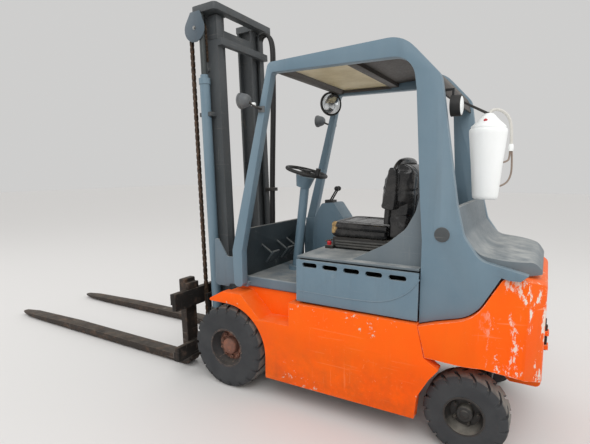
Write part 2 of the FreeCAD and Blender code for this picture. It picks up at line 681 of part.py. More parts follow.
def mast_outer():
    rear = size("outer_rear_x")
    front = rear + size("channel_depth")
    wide = size("outer_half_width")
    top = size("outer_top")
    tilt_y = size("tilt_y")
    tube_x = size("lift_tube_x")
    tube_y = size("lift_tube_y")
    tube_r = size("lift_tube_r")
    tube_bottom = size("lift_tube_bottom")
    tube_top = size("lift_tube_top")
    bracket_low = tube_top + 60
    chain_y = size("chain_y")
    pieces = []
    for name, side in SIDES:
        pieces.append(channel("OuterChannel" + name, rear, wide, side, size("mast_bottom"), top))
        low, high = side_range(side, 262, 287)
        pieces.append(across("AxleHanger" + name, [(rear + 4, 165), (rear + 4, 450), (60, 410, 60), (-40, 396, 70),
                                                   (-108, 340, 60), (-108, 240, 60), (-20, 184, 60)], low, high))
        for part, edge in (("Inner", tilt_y - 27), ("Outer", tilt_y + 20)):
            low, high = side_range(side, edge, edge + 8)
            pieces.append(across("TiltLug" + part + name, [(rear + 4, 580), (rear + 4, 710), (100, 680, 24),
                                                           (84, 640, 20), (100, 610, 24)], low, high))
        pieces.append(rod("TiltLugPin" + name, 11, (112, side * (tilt_y - 27), 645), (112, side * (tilt_y + 28), 645)))
        low, high = side_range(side, wide - 4, tube_y + tube_r)
        pieces.append(box("TubeFoot" + name, (tube_x - 34, low, tube_bottom - 24),
                          (tube_x + 34, high, tube_bottom)))
        low, high = side_range(side, wide - 4, tube_y + 20)
        pieces.append(box("TubeClamp" + name, (tube_x - 60, low, tube_top - 282), (tube_x + 50, high, tube_top - 252)))
        low, high = side_range(side, wide, chain_y + 12)
        anchor_x = size("sheave_x") - size("sheave_pitch_r")
        pieces.append(box("ChainBracket" + name, (anchor_x - 22, low, bracket_low),
                          (anchor_x + 22, high, bracket_low + 24)))
        pieces.append(rod("ChainAnchor" + name, 7, (anchor_x, side * chain_y, bracket_low - 18),
                          (anchor_x, side * chain_y, bracket_low + 78)))
    pieces.append(box("TopTie", (rear - 40, -wide, top - 52), (rear, wide, top)))
    pieces.append(box("MiddleTie", (rear - 28, -wide, 800), (rear, wide, 880)))
    pieces.append(box("BottomTie", (rear - 28, -wide, 132), (rear, wide, 200)))
    tools = [rod("HangerBore", size("axle_sleeve_r") + 0.4, (0, -400, AXLE_Z), (0, 400, AXLE_Z))]
    for name, side in SIDES:
        tools.append(rod("TubeHole" + name, tube_r + 0.2, (tube_x, side * tube_y, tube_bottom),
                         (tube_x, side * tube_y, top + 50)))
    node(cut("MastOuter", fuse("MastOuterWhole", pieces), tools), "mast_outer", LEAN)


def lift_cylinders():
    x = size("lift_tube_x")
    tube_top = size("lift_tube_top")
    for name, side in SIDES:
        y = side * size("lift_tube_y")
        tube = rod("LiftTube" + name, "Sizes.lift_tube_r", (x, y, size("lift_tube_bottom")), (x, y, tube_top))
        gland = rod("LiftGland" + name, size("lift_tube_r") + 5, (x, y, tube_top - 44), (x, y, tube_top))
        neck = rod("LiftNeck" + name, 30, (x, y, tube_top), (x, y, tube_top + 26))
        bore = rod("LiftTubeBore" + name, size("lift_rod_r") + 0.4, (x, y, size("lift_tube_bottom") + 40),
                   (x, y, tube_top + 138))
        node(cut("LiftBarrel" + name, fuse("LiftBarrelWhole" + name, [tube, gland, neck]), [bore]),
             "lift_barrel_" + name, LEAN)
        stem = rod("LiftRod" + name, "Sizes.lift_rod_r", (x, y, size("lift_tube_bottom") + 60),
                   (x, y, size("crosshead_bottom")))
        node(stem, "lift_rod_" + name, LEAN * stem.Placement)


def mast_inner():
    rear = size("outer_rear_x") + size("inner_offset")
    wide = size("inner_half_width")
    top = size("crosshead_bottom")
    pitch_r = size("sheave_pitch_r")
    sheave_x = size("sheave_x")
    level = size("sheave_z")
    chain_y = size("chain_y")
    roller_x = size("outer_rear_x") + size("channel_depth") / 2
    half_chain = size("chain_width") / 2
    end_y = size("crosshead_half_width")
    pieces = [upward("Crosshead", [(118, end_y, 34), (352, end_y, 34), (352, -end_y, 34), (118, -end_y, 34)], top,
                     top + size("crosshead_thick")),
              box("InnerLowTie", (rear - 2, -wide + 6, 165), (rear + 14, wide - 6, 240)),
              box("InnerTopTie", (rear, -wide + 6, top - 175), (rear + 14, wide - 6, top - 95))]
    for name, side in SIDES:
        pieces.append(channel("InnerChannel" + name, rear, wide, side, size("mast_bottom") + 20, top + 1))
        pieces.append(rod("InnerRoller" + name, 52, (roller_x, side * (wide + 7), 205), (roller_x, side * (wide + 43), 205)))
        pieces.append(rod("InnerStub" + name, 20, (roller_x, side * (wide - 10), 205), (roller_x, side * (wide + 10), 205)))
        low, high = side_range(side, chain_y - half_chain - 12, chain_y - half_chain - 4)
        pieces.append(across("SheaveCheek" + name, [
            (sheave_x - 73, top + 4), (sheave_x - 73, level + 18, 20), (sheave_x - 23, level - 42, 20),
            (sheave_x + 23, level - 42, 20), (sheave_x + 51, level + 18, 20), (sheave_x + 51, top + 4)], low, high))
        pieces.append(rod("SheaveShaft" + name, 12, (sheave_x, side * (chain_y - 22), level),
                          (sheave_x, side * (chain_y + 26), level)))
        pieces.append(rod("Sheave" + name, pitch_r - size("chain_thick") / 2, (sheave_x, side * (chain_y - 12), level),
                          (sheave_x, side * (chain_y + 12), level)))
        low, high = side_range(side, chain_y + 13, chain_y + 19)
        pieces.append(across("SheaveCover" + name, [
            (sheave_x - 39, top + 4), (sheave_x - 39, level - 47, 30), (sheave_x - 11, level - 84, 40),
            (sheave_x + 31, level - 84, 40), (sheave_x + 79, level - 32, 60), (sheave_x + 79, level + 68, 60),
            (sheave_x + 51, top + 4)], low, high))
    node(fuse("MastInner", pieces), "mast_inner", LEAN)


def chains():
    half = size("chain_width") / 2
    thick = size("chain_thick")
    middle = size("sheave_x")
    level = size("sheave_z")
    pitch_r = size("sheave_pitch_r")
    anchor_top = size("lift_tube_top") + 138
    for name, side in SIDES:
        low = side * size("chain_y") - half
        high = side * size("chain_y") + half
        front = box("ChainFront" + name, (middle + pitch_r - thick / 2, low, 420),
                    (middle + pitch_r + thick / 2, high, level))
        node(front, "chain_front_" + name, LEAN * front.Placement)
        ring = rod("ChainRing" + name, pitch_r + thick / 2, (middle, low, level), (middle, high, level))
        ring_bore = rod("ChainRingBore" + name, pitch_r - thick / 2 + 0.4, (middle, low, level), (middle, high, level))
        below = box("ChainBelow" + name, (middle - 200, low, level - 200), (middle + 200, high, level))
        wrap = cut("ChainWrap" + name, ring, [ring_bore, below])
        rear = box("ChainRear" + name, (middle - pitch_r - thick / 2, low, anchor_top),
                   (middle - pitch_r + thick / 2 - 0.4, high, level))
        node(fuse("ChainRearWhole" + name, [wrap, rear]), "chain_rear_" + name, LEAN)


def carriage():
    roller_x = size("outer_rear_x") + size("inner_offset") + size("channel_depth") / 2
    chain_x = size("sheave_x") + size("sheave_pitch_r")
    chain_y = size("chain_y")
    inner_wide = size("inner_half_width")
    bar_y = chain_y + 27
    pieces = [box("CarriageBar" + part, (374, -bar_y, low), (394, bar_y, low + 60)) for part, low in
              (("Upper", 530), ("Lower", 165))]
    for name, side in SIDES:
        low, high = side_range(side, inner_wide - 88, inner_wide - 68)
        pieces.append(across("CarriagePlate" + name, [(376, 165), (376, 590), (300, 590, 30), (226, 560, 30),
                                                      (226, 190, 30), (300, 165, 30)], low, high))
        for level in (205, 545):
            pieces.append(rod(f"CarriageRoller{name}{level}", 52, (roller_x, side * (inner_wide - 57), level),
                              (roller_x, side * (inner_wide - 22), level)))
            pieces.append(rod(f"CarriageStub{name}{level}", 20, (roller_x, side * (inner_wide - 72), level),
                              (roller_x, side * (inner_wide - 54), level)))
        low, high = side_range(side, chain_y - 14, chain_y + 14)
        pieces.append(box("ChainPost" + name, (374, low, 200), (394, high, 545)))
        pieces.append(box("ChainLug" + name, (390, low, 376), (chain_x + 9, high, 400)))
        pieces.append(rod("ChainBolt" + name, 7, (chain_x, side * chain_y, 350), (chain_x, side * chain_y, 420)))
    node(fuse("Carriage", pieces), "carriage", LEAN)


def sideshift_frame():
    rear = size("bar_rear_x")
    front = rear + size("bar_depth")
    shift = size("side_shift")
    low_y = shift - size("bar_half_width")
    high_y = shift + size("bar_half_width")
    pieces = []
    for part, low, high in (("Upper", 516, 650), ("Lower", 124, 235)):
        pieces.append(box("ForkBar" + part, (rear, low_y, low), (front - 14, high_y, high)))
    pieces.append(box("ForkBarUpperLip", (front - 16, low_y, 566), (front, high_y, 650)))
    pieces.append(box("ForkBarLowerLip", (front - 16, low_y, 124), (front, high_y, 196)))
    for name, side in SIDES:
        low, high = side_range(side, 185, 225)
        pieces.append(box("FramePost" + name, (rear, shift + low, 230), (rear + 26, shift + high, 520)))
    for part, low, high, lip_low, lip_high in (("Upper", 590.3, 608, 560, 608), ("Lower", 143, 160, 143, 195)):
        pieces.append(box("FrameHook" + part, (356, shift - 40, low), (rear + 4, shift + 40, high)))
        pieces.append(box("FrameHookLip" + part, (356, shift - 40, lip_low), (368, shift + 40, lip_high)))
    node(fuse("SideshiftFrame", pieces), "sideshift_frame", LEAN)


def upright(x, z):
    """Mast-frame place of a point given as it stands with the mast at rest."""
    lean = math.radians(size("rest_lean"))
    return (x * math.cos(lean) - (z - AXLE_Z) * math.sin(lean),
            AXLE_Z + x * math.sin(lean) + (z - AXLE_Z) * math.cos(lean))


def level_with(mast_x, z):
    """Point at a mast-frame X that stands at a height z with the mast at rest."""
    lean = math.radians(size("rest_lean"))
    return (mast_x, AXLE_Z + mast_x * math.tan(lean) + (z - AXLE_Z) / math.cos(lean))


def forks():
    back = size("bar_rear_x") + size("bar_depth")
    front = back + size("fork_thick")
    low_z = size("fork_ground_gap")
    thick = size("fork_thick")
    tip = size("fork_tip_x")
    half = size("fork_width") / 2
    shift = size("side_shift")
    heel = level_with(back, low_z)
    toe_low = upright(tip - 420, low_z)
    tip_low = upright(tip, low_z + 12)
    tip_high = upright(tip, low_z + 30)
    blade_top = level_with(front, low_z + thick)
    taper_top = upright(tip - 900, low_z + thick)
    profile = [(back, 732, 12), heel + (46,), toe_low, tip_low + (7,), tip_high + (7,), taper_top,
               blade_top + (40,), (front, 732, 12)]
    for name, side in SIDES:
        middle = shift + side * size("fork_spread")
        solid = across("ForkProfile" + name, profile, middle - half, middle + half)
        plan = upward("ForkPlan" + name, [
            (back - 60, middle - half), (tip - 170, middle - half, 120), (tip - 4, middle - 26, 24),
            (tip - 4, middle + 26, 24), (tip - 170, middle + half, 120), (back - 60, middle + half)], -200, 800)
        blade = doc.addObject("Part::Common", "ForkBlade" + name)
        blade.Base = solid
        blade.Tool = plan
        hook = box("ForkHook" + name, (back - 36, middle - half, 650), (back + 6, middle + half, 700))
        heel_hook = box("ForkLowHook" + name, (back - 30, middle - half, 88), (back + 6, middle + half, 124))
        node(fuse("Fork" + name, [blade, hook, heel_hook]), "fork_" + name, LEAN)


# Tilt cylinders under the floor, between the chassis and the mast

def tilt_cylinders():
    foot = Vector(-500, 0, 600)
    eye = LEAN.multVec(Vector(112 + AXLE_X, 0, 645)) - Vector(AXLE_X, 0, 0)
    along = (eye - foot).normalize()
    length = (eye - foot).Length
    for name, side in SIDES:
        y = side * size("tilt_y")

        def at(distance, level_y=y):
            place = foot + along * distance
            return (place.x, level_y, place.z)

        tube = rod("TiltTube" + name, 31, at(40), at(400))
        neck = rod("TiltNeck" + name, 14, at(14), at(44))
        foot_eye = rod("TiltFootEye" + name, 24, (foot.x, y - 14, foot.z), (foot.x, y + 14, foot.z))
        bores = [rod("TiltFootBore" + name, 12.4, (foot.x, y - 20, foot.z), (foot.x, y + 20, foot.z)),
                 rod("TiltTubeBore" + name, 16.4, at(70), at(420))]
        node(cut("TiltBarrel" + name, fuse("TiltBarrelWhole" + name, [tube, neck, foot_eye]), bores),
             "tilt_barrel_" + name)
        shank = rod("TiltShank" + name, 16, at(200), at(length - 20))
        eye_end = rod("TiltEye" + name, 26, (eye.x, y - 8, eye.z), (eye.x, y + 8, eye.z))
        bore = rod("TiltEyeBore" + name, 16, (eye.x, y - 20, eye.z), (eye.x, y + 20, eye.z))
        node(cut("TiltRod" + name, fuse("TiltRodWhole" + name, [shank, eye_end]), [bore]), "tilt_rod_" + name)


front_wheels()
rear_wheels()
steer_axle()
drive_axle()
frame()
battery()
side_panels()
counterweight()
tow_pin()
cab_tub()
bulkhead()
steering()
side_console()
side_covers()
battery_lid()
seat()
guard()
roof()
rear_hood()
lamps()
mirror()
water_tank()
mast_outer()
lift_cylinders()
mast_inner()
chains()
carriage()
sideshift_frame()
forks()
tilt_cylinders()

doc.recompute()

faults = [item.Name for item in doc.Objects if "Invalid" in item.State or "Error" in item.State]
faults += [item.Label for item in nodes if item.Shape.isNull() or not item.Shape.isValid()]
if faults:
    raise RuntimeError("failed objects: " + ", ".join(faults))

os.makedirs("parts", exist_ok=True)
overall = FreeCAD.BoundBox()
for item in nodes:
    overall.add(item.Shape.BoundBox)
    item.Shape.exportStep(os.path.join("parts", item.Label + ".step"))
print("nodes", len(nodes))
print("overall", overall)
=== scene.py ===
# %% [markdown]
# A worn electric fork truck stands on a pale floor. The solids of the frame already have the
# right places and sizes, so this lesson dresses them: softened edges, real treads, chains,
# upholstery and paint that has been used for years.

# %% Load the frame
import json
import math
import bpy
from mathutils import Matrix, Vector


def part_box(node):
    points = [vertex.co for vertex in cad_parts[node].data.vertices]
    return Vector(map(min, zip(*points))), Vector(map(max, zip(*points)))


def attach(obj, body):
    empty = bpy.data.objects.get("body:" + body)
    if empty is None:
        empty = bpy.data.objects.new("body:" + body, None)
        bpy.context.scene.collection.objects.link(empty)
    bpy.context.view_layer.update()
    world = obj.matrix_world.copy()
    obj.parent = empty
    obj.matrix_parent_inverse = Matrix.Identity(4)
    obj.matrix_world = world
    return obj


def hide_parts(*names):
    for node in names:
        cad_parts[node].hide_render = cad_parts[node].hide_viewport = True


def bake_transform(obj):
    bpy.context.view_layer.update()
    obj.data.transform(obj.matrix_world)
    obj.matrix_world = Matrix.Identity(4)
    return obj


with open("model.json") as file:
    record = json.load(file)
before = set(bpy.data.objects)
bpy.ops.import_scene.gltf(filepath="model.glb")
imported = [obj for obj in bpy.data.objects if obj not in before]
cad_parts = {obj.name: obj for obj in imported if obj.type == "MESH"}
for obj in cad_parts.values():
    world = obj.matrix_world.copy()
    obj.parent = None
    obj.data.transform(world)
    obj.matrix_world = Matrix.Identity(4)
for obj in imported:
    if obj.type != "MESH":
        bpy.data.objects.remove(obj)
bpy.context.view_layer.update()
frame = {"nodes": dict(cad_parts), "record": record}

SIDES = (("left", 1), ("right", -1))


def middle(node):
    """The centre of a node's box."""
    low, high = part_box(node)
    return (Vector(low) + Vector(high)) / 2


FRONT_AXLE = middle("front_tyre_left") * Vector((1, 0, 1))
REAR_AXLE = middle("rear_tyre_left") * Vector((1, 0, 1))
print("front axle", tuple(round(v, 3) for v in FRONT_AXLE), "rear axle", tuple(round(v, 3) for v in REAR_AXLE))

# %% [markdown]
# The camera stands at the rear left, a little above a person's waist, and looks slightly down.
# The floor is one wide pale plane under a pale sky.

# %% Camera
CAMERA_FROM_AXLE = Vector((-1.9327, 2.9382, 1.5683))
CAMERA_HEADING = math.radians(-59.87)
CAMERA_PITCH = math.radians(-6.92)
LENS_MM = 26.5
camera_data = bpy.data.cameras.new("camera")
camera_data.lens = LENS_MM
camera_data.sensor_width = 36
camera = bpy.data.objects.new("camera", camera_data)
bpy.context.scene.collection.objects.link(camera)
camera.location = Vector((FRONT_AXLE.x, 0, 0)) + CAMERA_FROM_AXLE
camera.rotation_euler = (math.radians(90) + CAMERA_PITCH, 0, CAMERA_HEADING - math.radians(90))
bpy.context.scene.camera = camera
bpy.context.scene.view_settings.view_transform = "Standard"

# %% [markdown]
# Each shader node is placed by one short helper, so that a material reads as a recipe.

# %% Node helpers


def add(tree, kind, values=None, **settings):
    """A node with its settings and the values of its named or numbered inputs."""
    made = tree.nodes.new(kind)
    for key, value in settings.items():
        setattr(made, key, value)
    for key, value in (values or {}).items():
        if isinstance(value, bpy.types.NodeSocket):
            tree.links.new(value, made.inputs[key])
        else:
            made.inputs[key].default_value = value
    return made


def new_group(name, inputs):
    """An empty node group with float inputs and one mask output."""
    tree = bpy.data.node_groups.new(name, "ShaderNodeTree")
    for label, value in inputs:
        socket = tree.interface.new_socket(name=label, in_out="INPUT", socket_type="NodeSocketFloat")
        socket.default_value = value
    tree.interface.new_socket(name="Mask", in_out="OUTPUT", socket_type="NodeSocketFloat")
    return tree, tree.nodes.new("NodeGroupInput"), tree.nodes.new("NodeGroupOutput")


def ramp(tree, value, low, high, to_low=0.0, to_high=1.0):
    """Stretches a value between two limits."""
    return add(tree, "ShaderNodeMapRange", {0: value, 1: low, 2: high, 3: to_low, 4: to_high}).outputs[0]


def math_node(tree, operation, first, second=0.5, clamp=False):
    return add(tree, "ShaderNodeMath", {0: first, 1: second}, operation=operation, use_clamp=clamp).outputs[0]


def noise(tree, vector, scale, detail=4.0, roughness=0.6):
    return add(tree, "ShaderNodeTexNoise",
               {"Vector": vector, "Scale": scale, "Detail": detail, "Roughness": roughness}).outputs["Fac"]


def stretched(tree, scale, turn=(0, 0, 0)):
    """Object coordinates stretched by a scale for each axis."""
    place = add(tree, "ShaderNodeTexCoord").outputs["Object"]
    return add(tree, "ShaderNodeMapping", {"Vector": place, "Scale": scale, "Rotation": turn}).outputs["Vector"]


# %% [markdown]
# Wear comes from a few causes that many finishes share: corners rub bare, dust settles on what
# faces up, grime runs down, grit leaves scratches and wet corners rust. Each is one node group.

# %% Shared effects


def edge_wear_group():
    tree, given, result = new_group("edge_wear", (("Width", 0.006), ("Amount", 1.0)))
    soft = add(tree, "ShaderNodeBevel", {"Radius": given.outputs["Width"]}, samples=6)
    sharp = add(tree, "ShaderNodeNewGeometry")
    alike = add(tree, "ShaderNodeVectorMath", {0: soft.outputs[0], 1: sharp.outputs["Normal"]},
                operation="DOT_PRODUCT").outputs["Value"]
    corner = ramp(tree, alike, 0.995, 0.86)
    broken = ramp(tree, noise(tree, stretched(tree, (1, 1, 1)), 34, 6, 0.7), 0.42, 0.62)
    mask = math_node(tree, "MULTIPLY", corner, broken)
    mask = math_node(tree, "MULTIPLY", mask, given.outputs["Amount"], True)
    tree.links.new(mask, result.inputs["Mask"])
    return tree


def dust_group():
    tree, given, result = new_group("settled_dust", (("Scale", 6.0), ("Amount", 1.0)))
    up = add(tree, "ShaderNodeSeparateXYZ", {0: add(tree, "ShaderNodeNewGeometry").outputs["Normal"]}).outputs[2]
    facing = ramp(tree, up, 0.35, 0.95)
    cloud = ramp(tree, noise(tree, stretched(tree, (1, 1, 1)), given.outputs["Scale"], 7, 0.65), 0.3, 0.68)
    mask = math_node(tree, "MULTIPLY", facing, cloud)
    mask = math_node(tree, "MULTIPLY", mask, given.outputs["Amount"], True)
    tree.links.new(mask, result.inputs["Mask"])
    return tree


def streak_group():
    tree, given, result = new_group("grime_streaks", (("Amount", 1.0),))
    runs = ramp(tree, noise(tree, stretched(tree, (15, 15, 1.1)), 1.0, 5, 0.6), 0.5, 0.78)
    patches = ramp(tree, noise(tree, stretched(tree, (1, 1, 1)), 2.6, 3, 0.5), 0.35, 0.65)
    mask = math_node(tree, "MULTIPLY", runs, patches)
    mask = math_node(tree, "MULTIPLY", mask, given.outputs["Amount"], True)
    tree.links.new(mask, result.inputs["Mask"])
    return tree


def scratch_group():
    tree, given, result = new_group("scratches", (("Amount", 1.0),))
    total = None
    for scale, turn, low in (((3, 3, 90), (0.25, 0.1, 0.2), 0.665), ((60, 3, 60), (0.1, 0.7, 0.4), 0.68),
                             ((90, 90, 4), (0.3, 0.35, 0.0), 0.69)):
        lines = ramp(tree, noise(tree, stretched(tree, scale, turn), 1.0, 2, 0.5), low, low + 0.02)
        total = lines if total is None else math_node(tree, "MAXIMUM", total, lines)
    gate = ramp(tree, noise(tree, stretched(tree, (1, 1, 1)), 2.2, 3, 0.5), 0.46, 0.6)
    mask = math_node(tree, "MULTIPLY", total, gate)
    mask = math_node(tree, "MULTIPLY", mask, given.outputs["Amount"], True)
    tree.links.new(mask, result.inputs["Mask"])
    return tree


def chip_group():
    tree, given, result = new_group("paint_chips", (("Scale", 9.0), ("Amount", 1.0)))
    fine = noise(tree, stretched(tree, (1, 1, 1)), given.outputs["Scale"], 9, 0.72)
    coarse = noise(tree, stretched(tree, (1, 1, 1)), 1.7, 2, 0.5)
    joined = math_node(tree, "ADD", math_node(tree, "MULTIPLY", fine, 0.7), math_node(tree, "MULTIPLY", coarse, 0.45))
    mask = math_node(tree, "MULTIPLY", ramp(tree, joined, 0.70, 0.715), given.outputs["Amount"], True)
    tree.links.new(mask, result.inputs["Mask"])
    return tree


EFFECTS = {"edge": edge_wear_group(), "dust": dust_group(), "streak": streak_group(),
           "scratch": scratch_group(), "chip": chip_group()}
print("effects", sorted(EFFECTS))


def effect(tree, name, **values):
    """One of the shared effects, placed in a material with its own values."""
    return add(tree, "ShaderNodeGroup", values, node_tree=EFFECTS[name]).outputs["Mask"]


def mix(tree, mask, below, above, strength=1.0):
    """Lays one colour over another where the mask is white."""
    if strength != 1.0:
        mask = math_node(tree, "MULTIPLY", mask, strength)
    return add(tree, "ShaderNodeMix", {0: mask, 6: below, 7: above}, data_type="RGBA").outputs[2]


def start_material(name):
    material = bpy.data.materials.new(name)
    material.use_nodes = True
    return material, material.node_tree, material.node_tree.nodes["Principled BSDF"]


def colour(red, green, blue):
    """A colour as the eye names it, from 0 to 255, in the linear values that shaders use."""
    def linear(value):
        value /= 255
        return value / 12.92 if value <= 0.04045 else ((value + 0.055) / 1.055) ** 2.4
    return (linear(red), linear(green), linear(blue), 1)


# %% [markdown]
# Painted sheet metal is the finish that covers most of the truck. Its recipe mixes a faded
# colour into the fresh one, then lays grime, scratches, chips, worn edges and dust over it.

# %% Painted metal


def painted(name, fresh, faded, bare, edge=1.0, dust=0.5, streak=0.5, scratch=0.5, chip=0.4, rough=0.42,
            scuff=None, dusty=colour(176, 170, 158), low_dirt=0.0, chip_scale=9.0, specular=0.5, rear_wear=None):
    material, tree, shader = start_material(name)
    shader.inputs["Specular IOR Level"].default_value = specular
    cloud = ramp(tree, noise(tree, stretched(tree, (1, 1, 0.6)), 3.1, 6, 0.6), 0.32, 0.7)
    tone = mix(tree, cloud, fresh, faded)
    streaks = effect(tree, "streak", Amount=streak)
    tone = mix(tree, streaks, tone, colour(58, 52, 46), 0.6)
    if low_dirt:
        height = add(tree, "ShaderNodeSeparateXYZ", {0: add(tree, "ShaderNodeTexCoord").outputs["Object"]}).outputs[2]
        mud = math_node(tree, "MULTIPLY", ramp(tree, height, 0.55, 0.12),
                        ramp(tree, noise(tree, stretched(tree, (1, 1, 1)), 11, 6, 0.7), 0.35, 0.7))
        tone = mix(tree, mud, tone, colour(70, 58, 46), low_dirt)
    scratches = effect(tree, "scratch", Amount=scratch)
    tone = mix(tree, scratches, tone, scuff or faded)
    chips = effect(tree, "chip", Amount=chip, Scale=chip_scale)
    if rear_wear:
        along = add(tree, "ShaderNodeSeparateXYZ", {0: add(tree, "ShaderNodeTexCoord").outputs["Object"]}).outputs[0]
        patches = ramp(tree, noise(tree, stretched(tree, (1, 1, 0.5)), 15, 9, 0.74), 0.57, 0.60)
        chips = math_node(tree, "MAXIMUM", chips, math_node(tree, "MULTIPLY", patches, ramp(tree, along, *rear_wear)))
    tone = mix(tree, chips, tone, bare)
    worn = effect(tree, "edge", Width=0.005, Amount=edge)
    tone = mix(tree, worn, tone, bare, 0.9)
    film = effect(tree, "dust", Scale=7.0, Amount=dust)
    tone = mix(tree, film, tone, dusty, 0.8)
    grain = noise(tree, stretched(tree, (1, 1, 1)), 60, 5, 0.6)
    gloss = math_node(tree, "ADD", ramp(tree, grain, 0.3, 0.7, rough - 0.06, rough + 0.1),
                      math_node(tree, "MULTIPLY", film, 0.4), True)
    height = math_node(tree, "SUBTRACT", math_node(tree, "MULTIPLY", grain, 0.25),
                       math_node(tree, "MULTIPLY", chips, 0.6))
    relief = add(tree, "ShaderNodeBump", {"Height": height, "Distance": 0.0012, "Strength": 0.35}).outputs[0]
    tree.links.new(tone, shader.inputs["Base Color"])
    tree.links.new(gloss, shader.inputs["Roughness"])
    tree.links.new(relief, shader.inputs["Normal"])
    return material


ORANGE = painted("orange_paint", colour(246, 90, 0), colour(240, 98, 6), colour(208, 186, 168), edge=0.45,
                 dust=0.3, streak=0.15, scratch=0.16, chip=1.0, rough=0.4, scuff=colour(246, 168, 110),
                 dusty=colour(222, 156, 112), low_dirt=0.35, chip_scale=26.0, specular=0.16)
ORANGE_SCUFFED = painted("scuffed_orange_paint", colour(246, 90, 0), colour(240, 100, 10), colour(226, 216, 204),
                         edge=0.8, dust=0.4, streak=0.2, scratch=0.3, chip=0.8, rough=0.42,
                         scuff=colour(246, 190, 150), dusty=colour(222, 164, 126), low_dirt=0.35, chip_scale=20.0,
                         specular=0.16, rear_wear=(-2.12, -2.36))
BLUE_GREY = painted("blue_grey_paint", colour(94, 118, 133), colour(106, 127, 140), colour(150, 156, 158), edge=0.35,
                    dust=0.35, streak=0.3, scratch=0.05, chip=0.05, rough=0.42, scuff=colour(140, 150, 156))
HOOD_GREY = painted("hood_grey_paint", colour(92, 103, 110), colour(104, 113, 118), colour(178, 178, 172), edge=0.5,
                    dust=0.9, streak=0.15, scratch=0.1, chip=0.05, rough=0.5, scuff=colour(150, 152, 150),
                    dusty=colour(186, 186, 182))
COVER_GREY = painted("cover_grey_paint", colour(92, 115, 130), colour(104, 125, 138), colour(170, 172, 170), edge=0.6,
                     dust=0.6, streak=0.4, scratch=0.12, chip=0.1, rough=0.5, scuff=colour(146, 150, 150))
# The chain guards take the blue-grey paint darkened, as painted shade.
CHAIN_GUARD_PAINTED_SHADE = painted("chain_guard_painted_shade", colour(66, 80, 91), colour(78, 90, 99), colour(128, 130, 130), edge=0.6,
                           dust=0.4)
BULKHEAD_GREY = painted("bulkhead_grey", colour(44, 53, 58), colour(58, 66, 70), colour(150, 152, 148), edge=0.9,
                        dust=0.6, streak=0.5, scratch=0.15, chip=0.3, rough=0.5)
MAST_PAINT = painted("mast_paint", colour(56, 60, 63), colour(70, 74, 76), colour(104, 96, 88), edge=0.7, dust=0.4,
                     streak=0.9, scratch=0.5, chip=0.5, rough=0.5, scuff=colour(110, 108, 104))
BLACK_PAINT = painted("black_paint", colour(34, 33, 32), colour(48, 45, 42), colour(96, 82, 70), edge=0.7, dust=0.6,
                      streak=0.5, scratch=0.5, chip=0.5, rough=0.55, scuff=colour(84, 78, 72))

# %% [markdown]
# Bare or rusty steel is darker and rougher. Rust sits in patches that break up at their rims.

# %% Steel, rubber and plastic


def steel(name, base, rust, shine, rust_low=0.5, metallic=0.6, rough=0.5, dust=0.4, scale=12, hub_radius=None):
    material, tree, shader = start_material(name)
    cloud = noise(tree, stretched(tree, (1, 1, 1)), scale, 9, 0.7)
    tone = mix(tree, ramp(tree, cloud, rust_low, rust_low + 0.14), base, rust)
    if hub_radius:
        place = add(tree, "ShaderNodeVectorMath", {0: add(tree, "ShaderNodeTexCoord").outputs["Object"],
                                                   1: tuple(FRONT_AXLE)}, operation="SUBTRACT").outputs[0]
        flat = add(tree, "ShaderNodeVectorMath", {0: place, 1: (1, 0, 1)}, operation="MULTIPLY").outputs[0]
        away = add(tree, "ShaderNodeVectorMath", {0: flat}, operation="LENGTH").outputs["Value"]
        tone = mix(tree, ramp(tree, away, hub_radius - 0.006, hub_radius + 0.006), tone, colour(58, 57, 58))
    tone = mix(tree, effect(tree, "scratch", Amount=0.8), tone, shine)
    tone = mix(tree, effect(tree, "edge", Width=0.005, Amount=1.0), tone, shine)
    film = effect(tree, "dust", Scale=9.0, Amount=dust)
    tone = mix(tree, film, tone, colour(150, 138, 122), 0.7)
    gloss = ramp(tree, cloud, 0.35, 0.65, rough, rough + 0.3)
    metal = ramp(tree, cloud, rust_low, rust_low + 0.14, metallic, 0.0)
    relief = add(tree, "ShaderNodeBump", {"Height": noise(tree, stretched(tree, (1, 1, 1)), 90, 6, 0.7),
                                          "Distance": 0.0015, "Strength": 0.5}).outputs[0]
    tree.links.new(tone, shader.inputs["Base Color"])
    tree.links.new(gloss, shader.inputs["Roughness"])
    tree.links.new(metal, shader.inputs["Metallic"])
    tree.links.new(relief, shader.inputs["Normal"])
    return material


FORK_STEEL = steel("fork_steel", colour(62, 56, 52), colour(84, 64, 50), colour(128, 122, 116))
CARRIAGE_STEEL = steel("carriage_steel", colour(44, 41, 39), colour(70, 54, 44), colour(104, 98, 92), 0.52)
CHAIN_STEEL = steel("chain_steel", colour(52, 42, 34), colour(82, 56, 36), colour(110, 96, 82), 0.46, 0.5, 0.5, 0.2, 40)
# The hub's rust colours are set lighter than its real rust, as painted light where the hub sits in shade.
HUB_RUST_AND_PAINTED_LIGHT = steel("hub_rust_and_painted_light", colour(118, 82, 70), colour(134, 88, 70), colour(160, 134, 118), 0.46, 0.2, 0.65, 0.3, 24,
                 0.108)
ROD_DULL = steel("rod_dull", colour(70, 74, 74), colour(66, 60, 54), colour(120, 120, 118), 0.6, 0.5, 0.4, 0.1)
ROD_CHROME = steel("rod_chrome", colour(150, 150, 148), colour(96, 82, 70), colour(190, 190, 188), 0.66, 0.9, 0.22, 0.1)


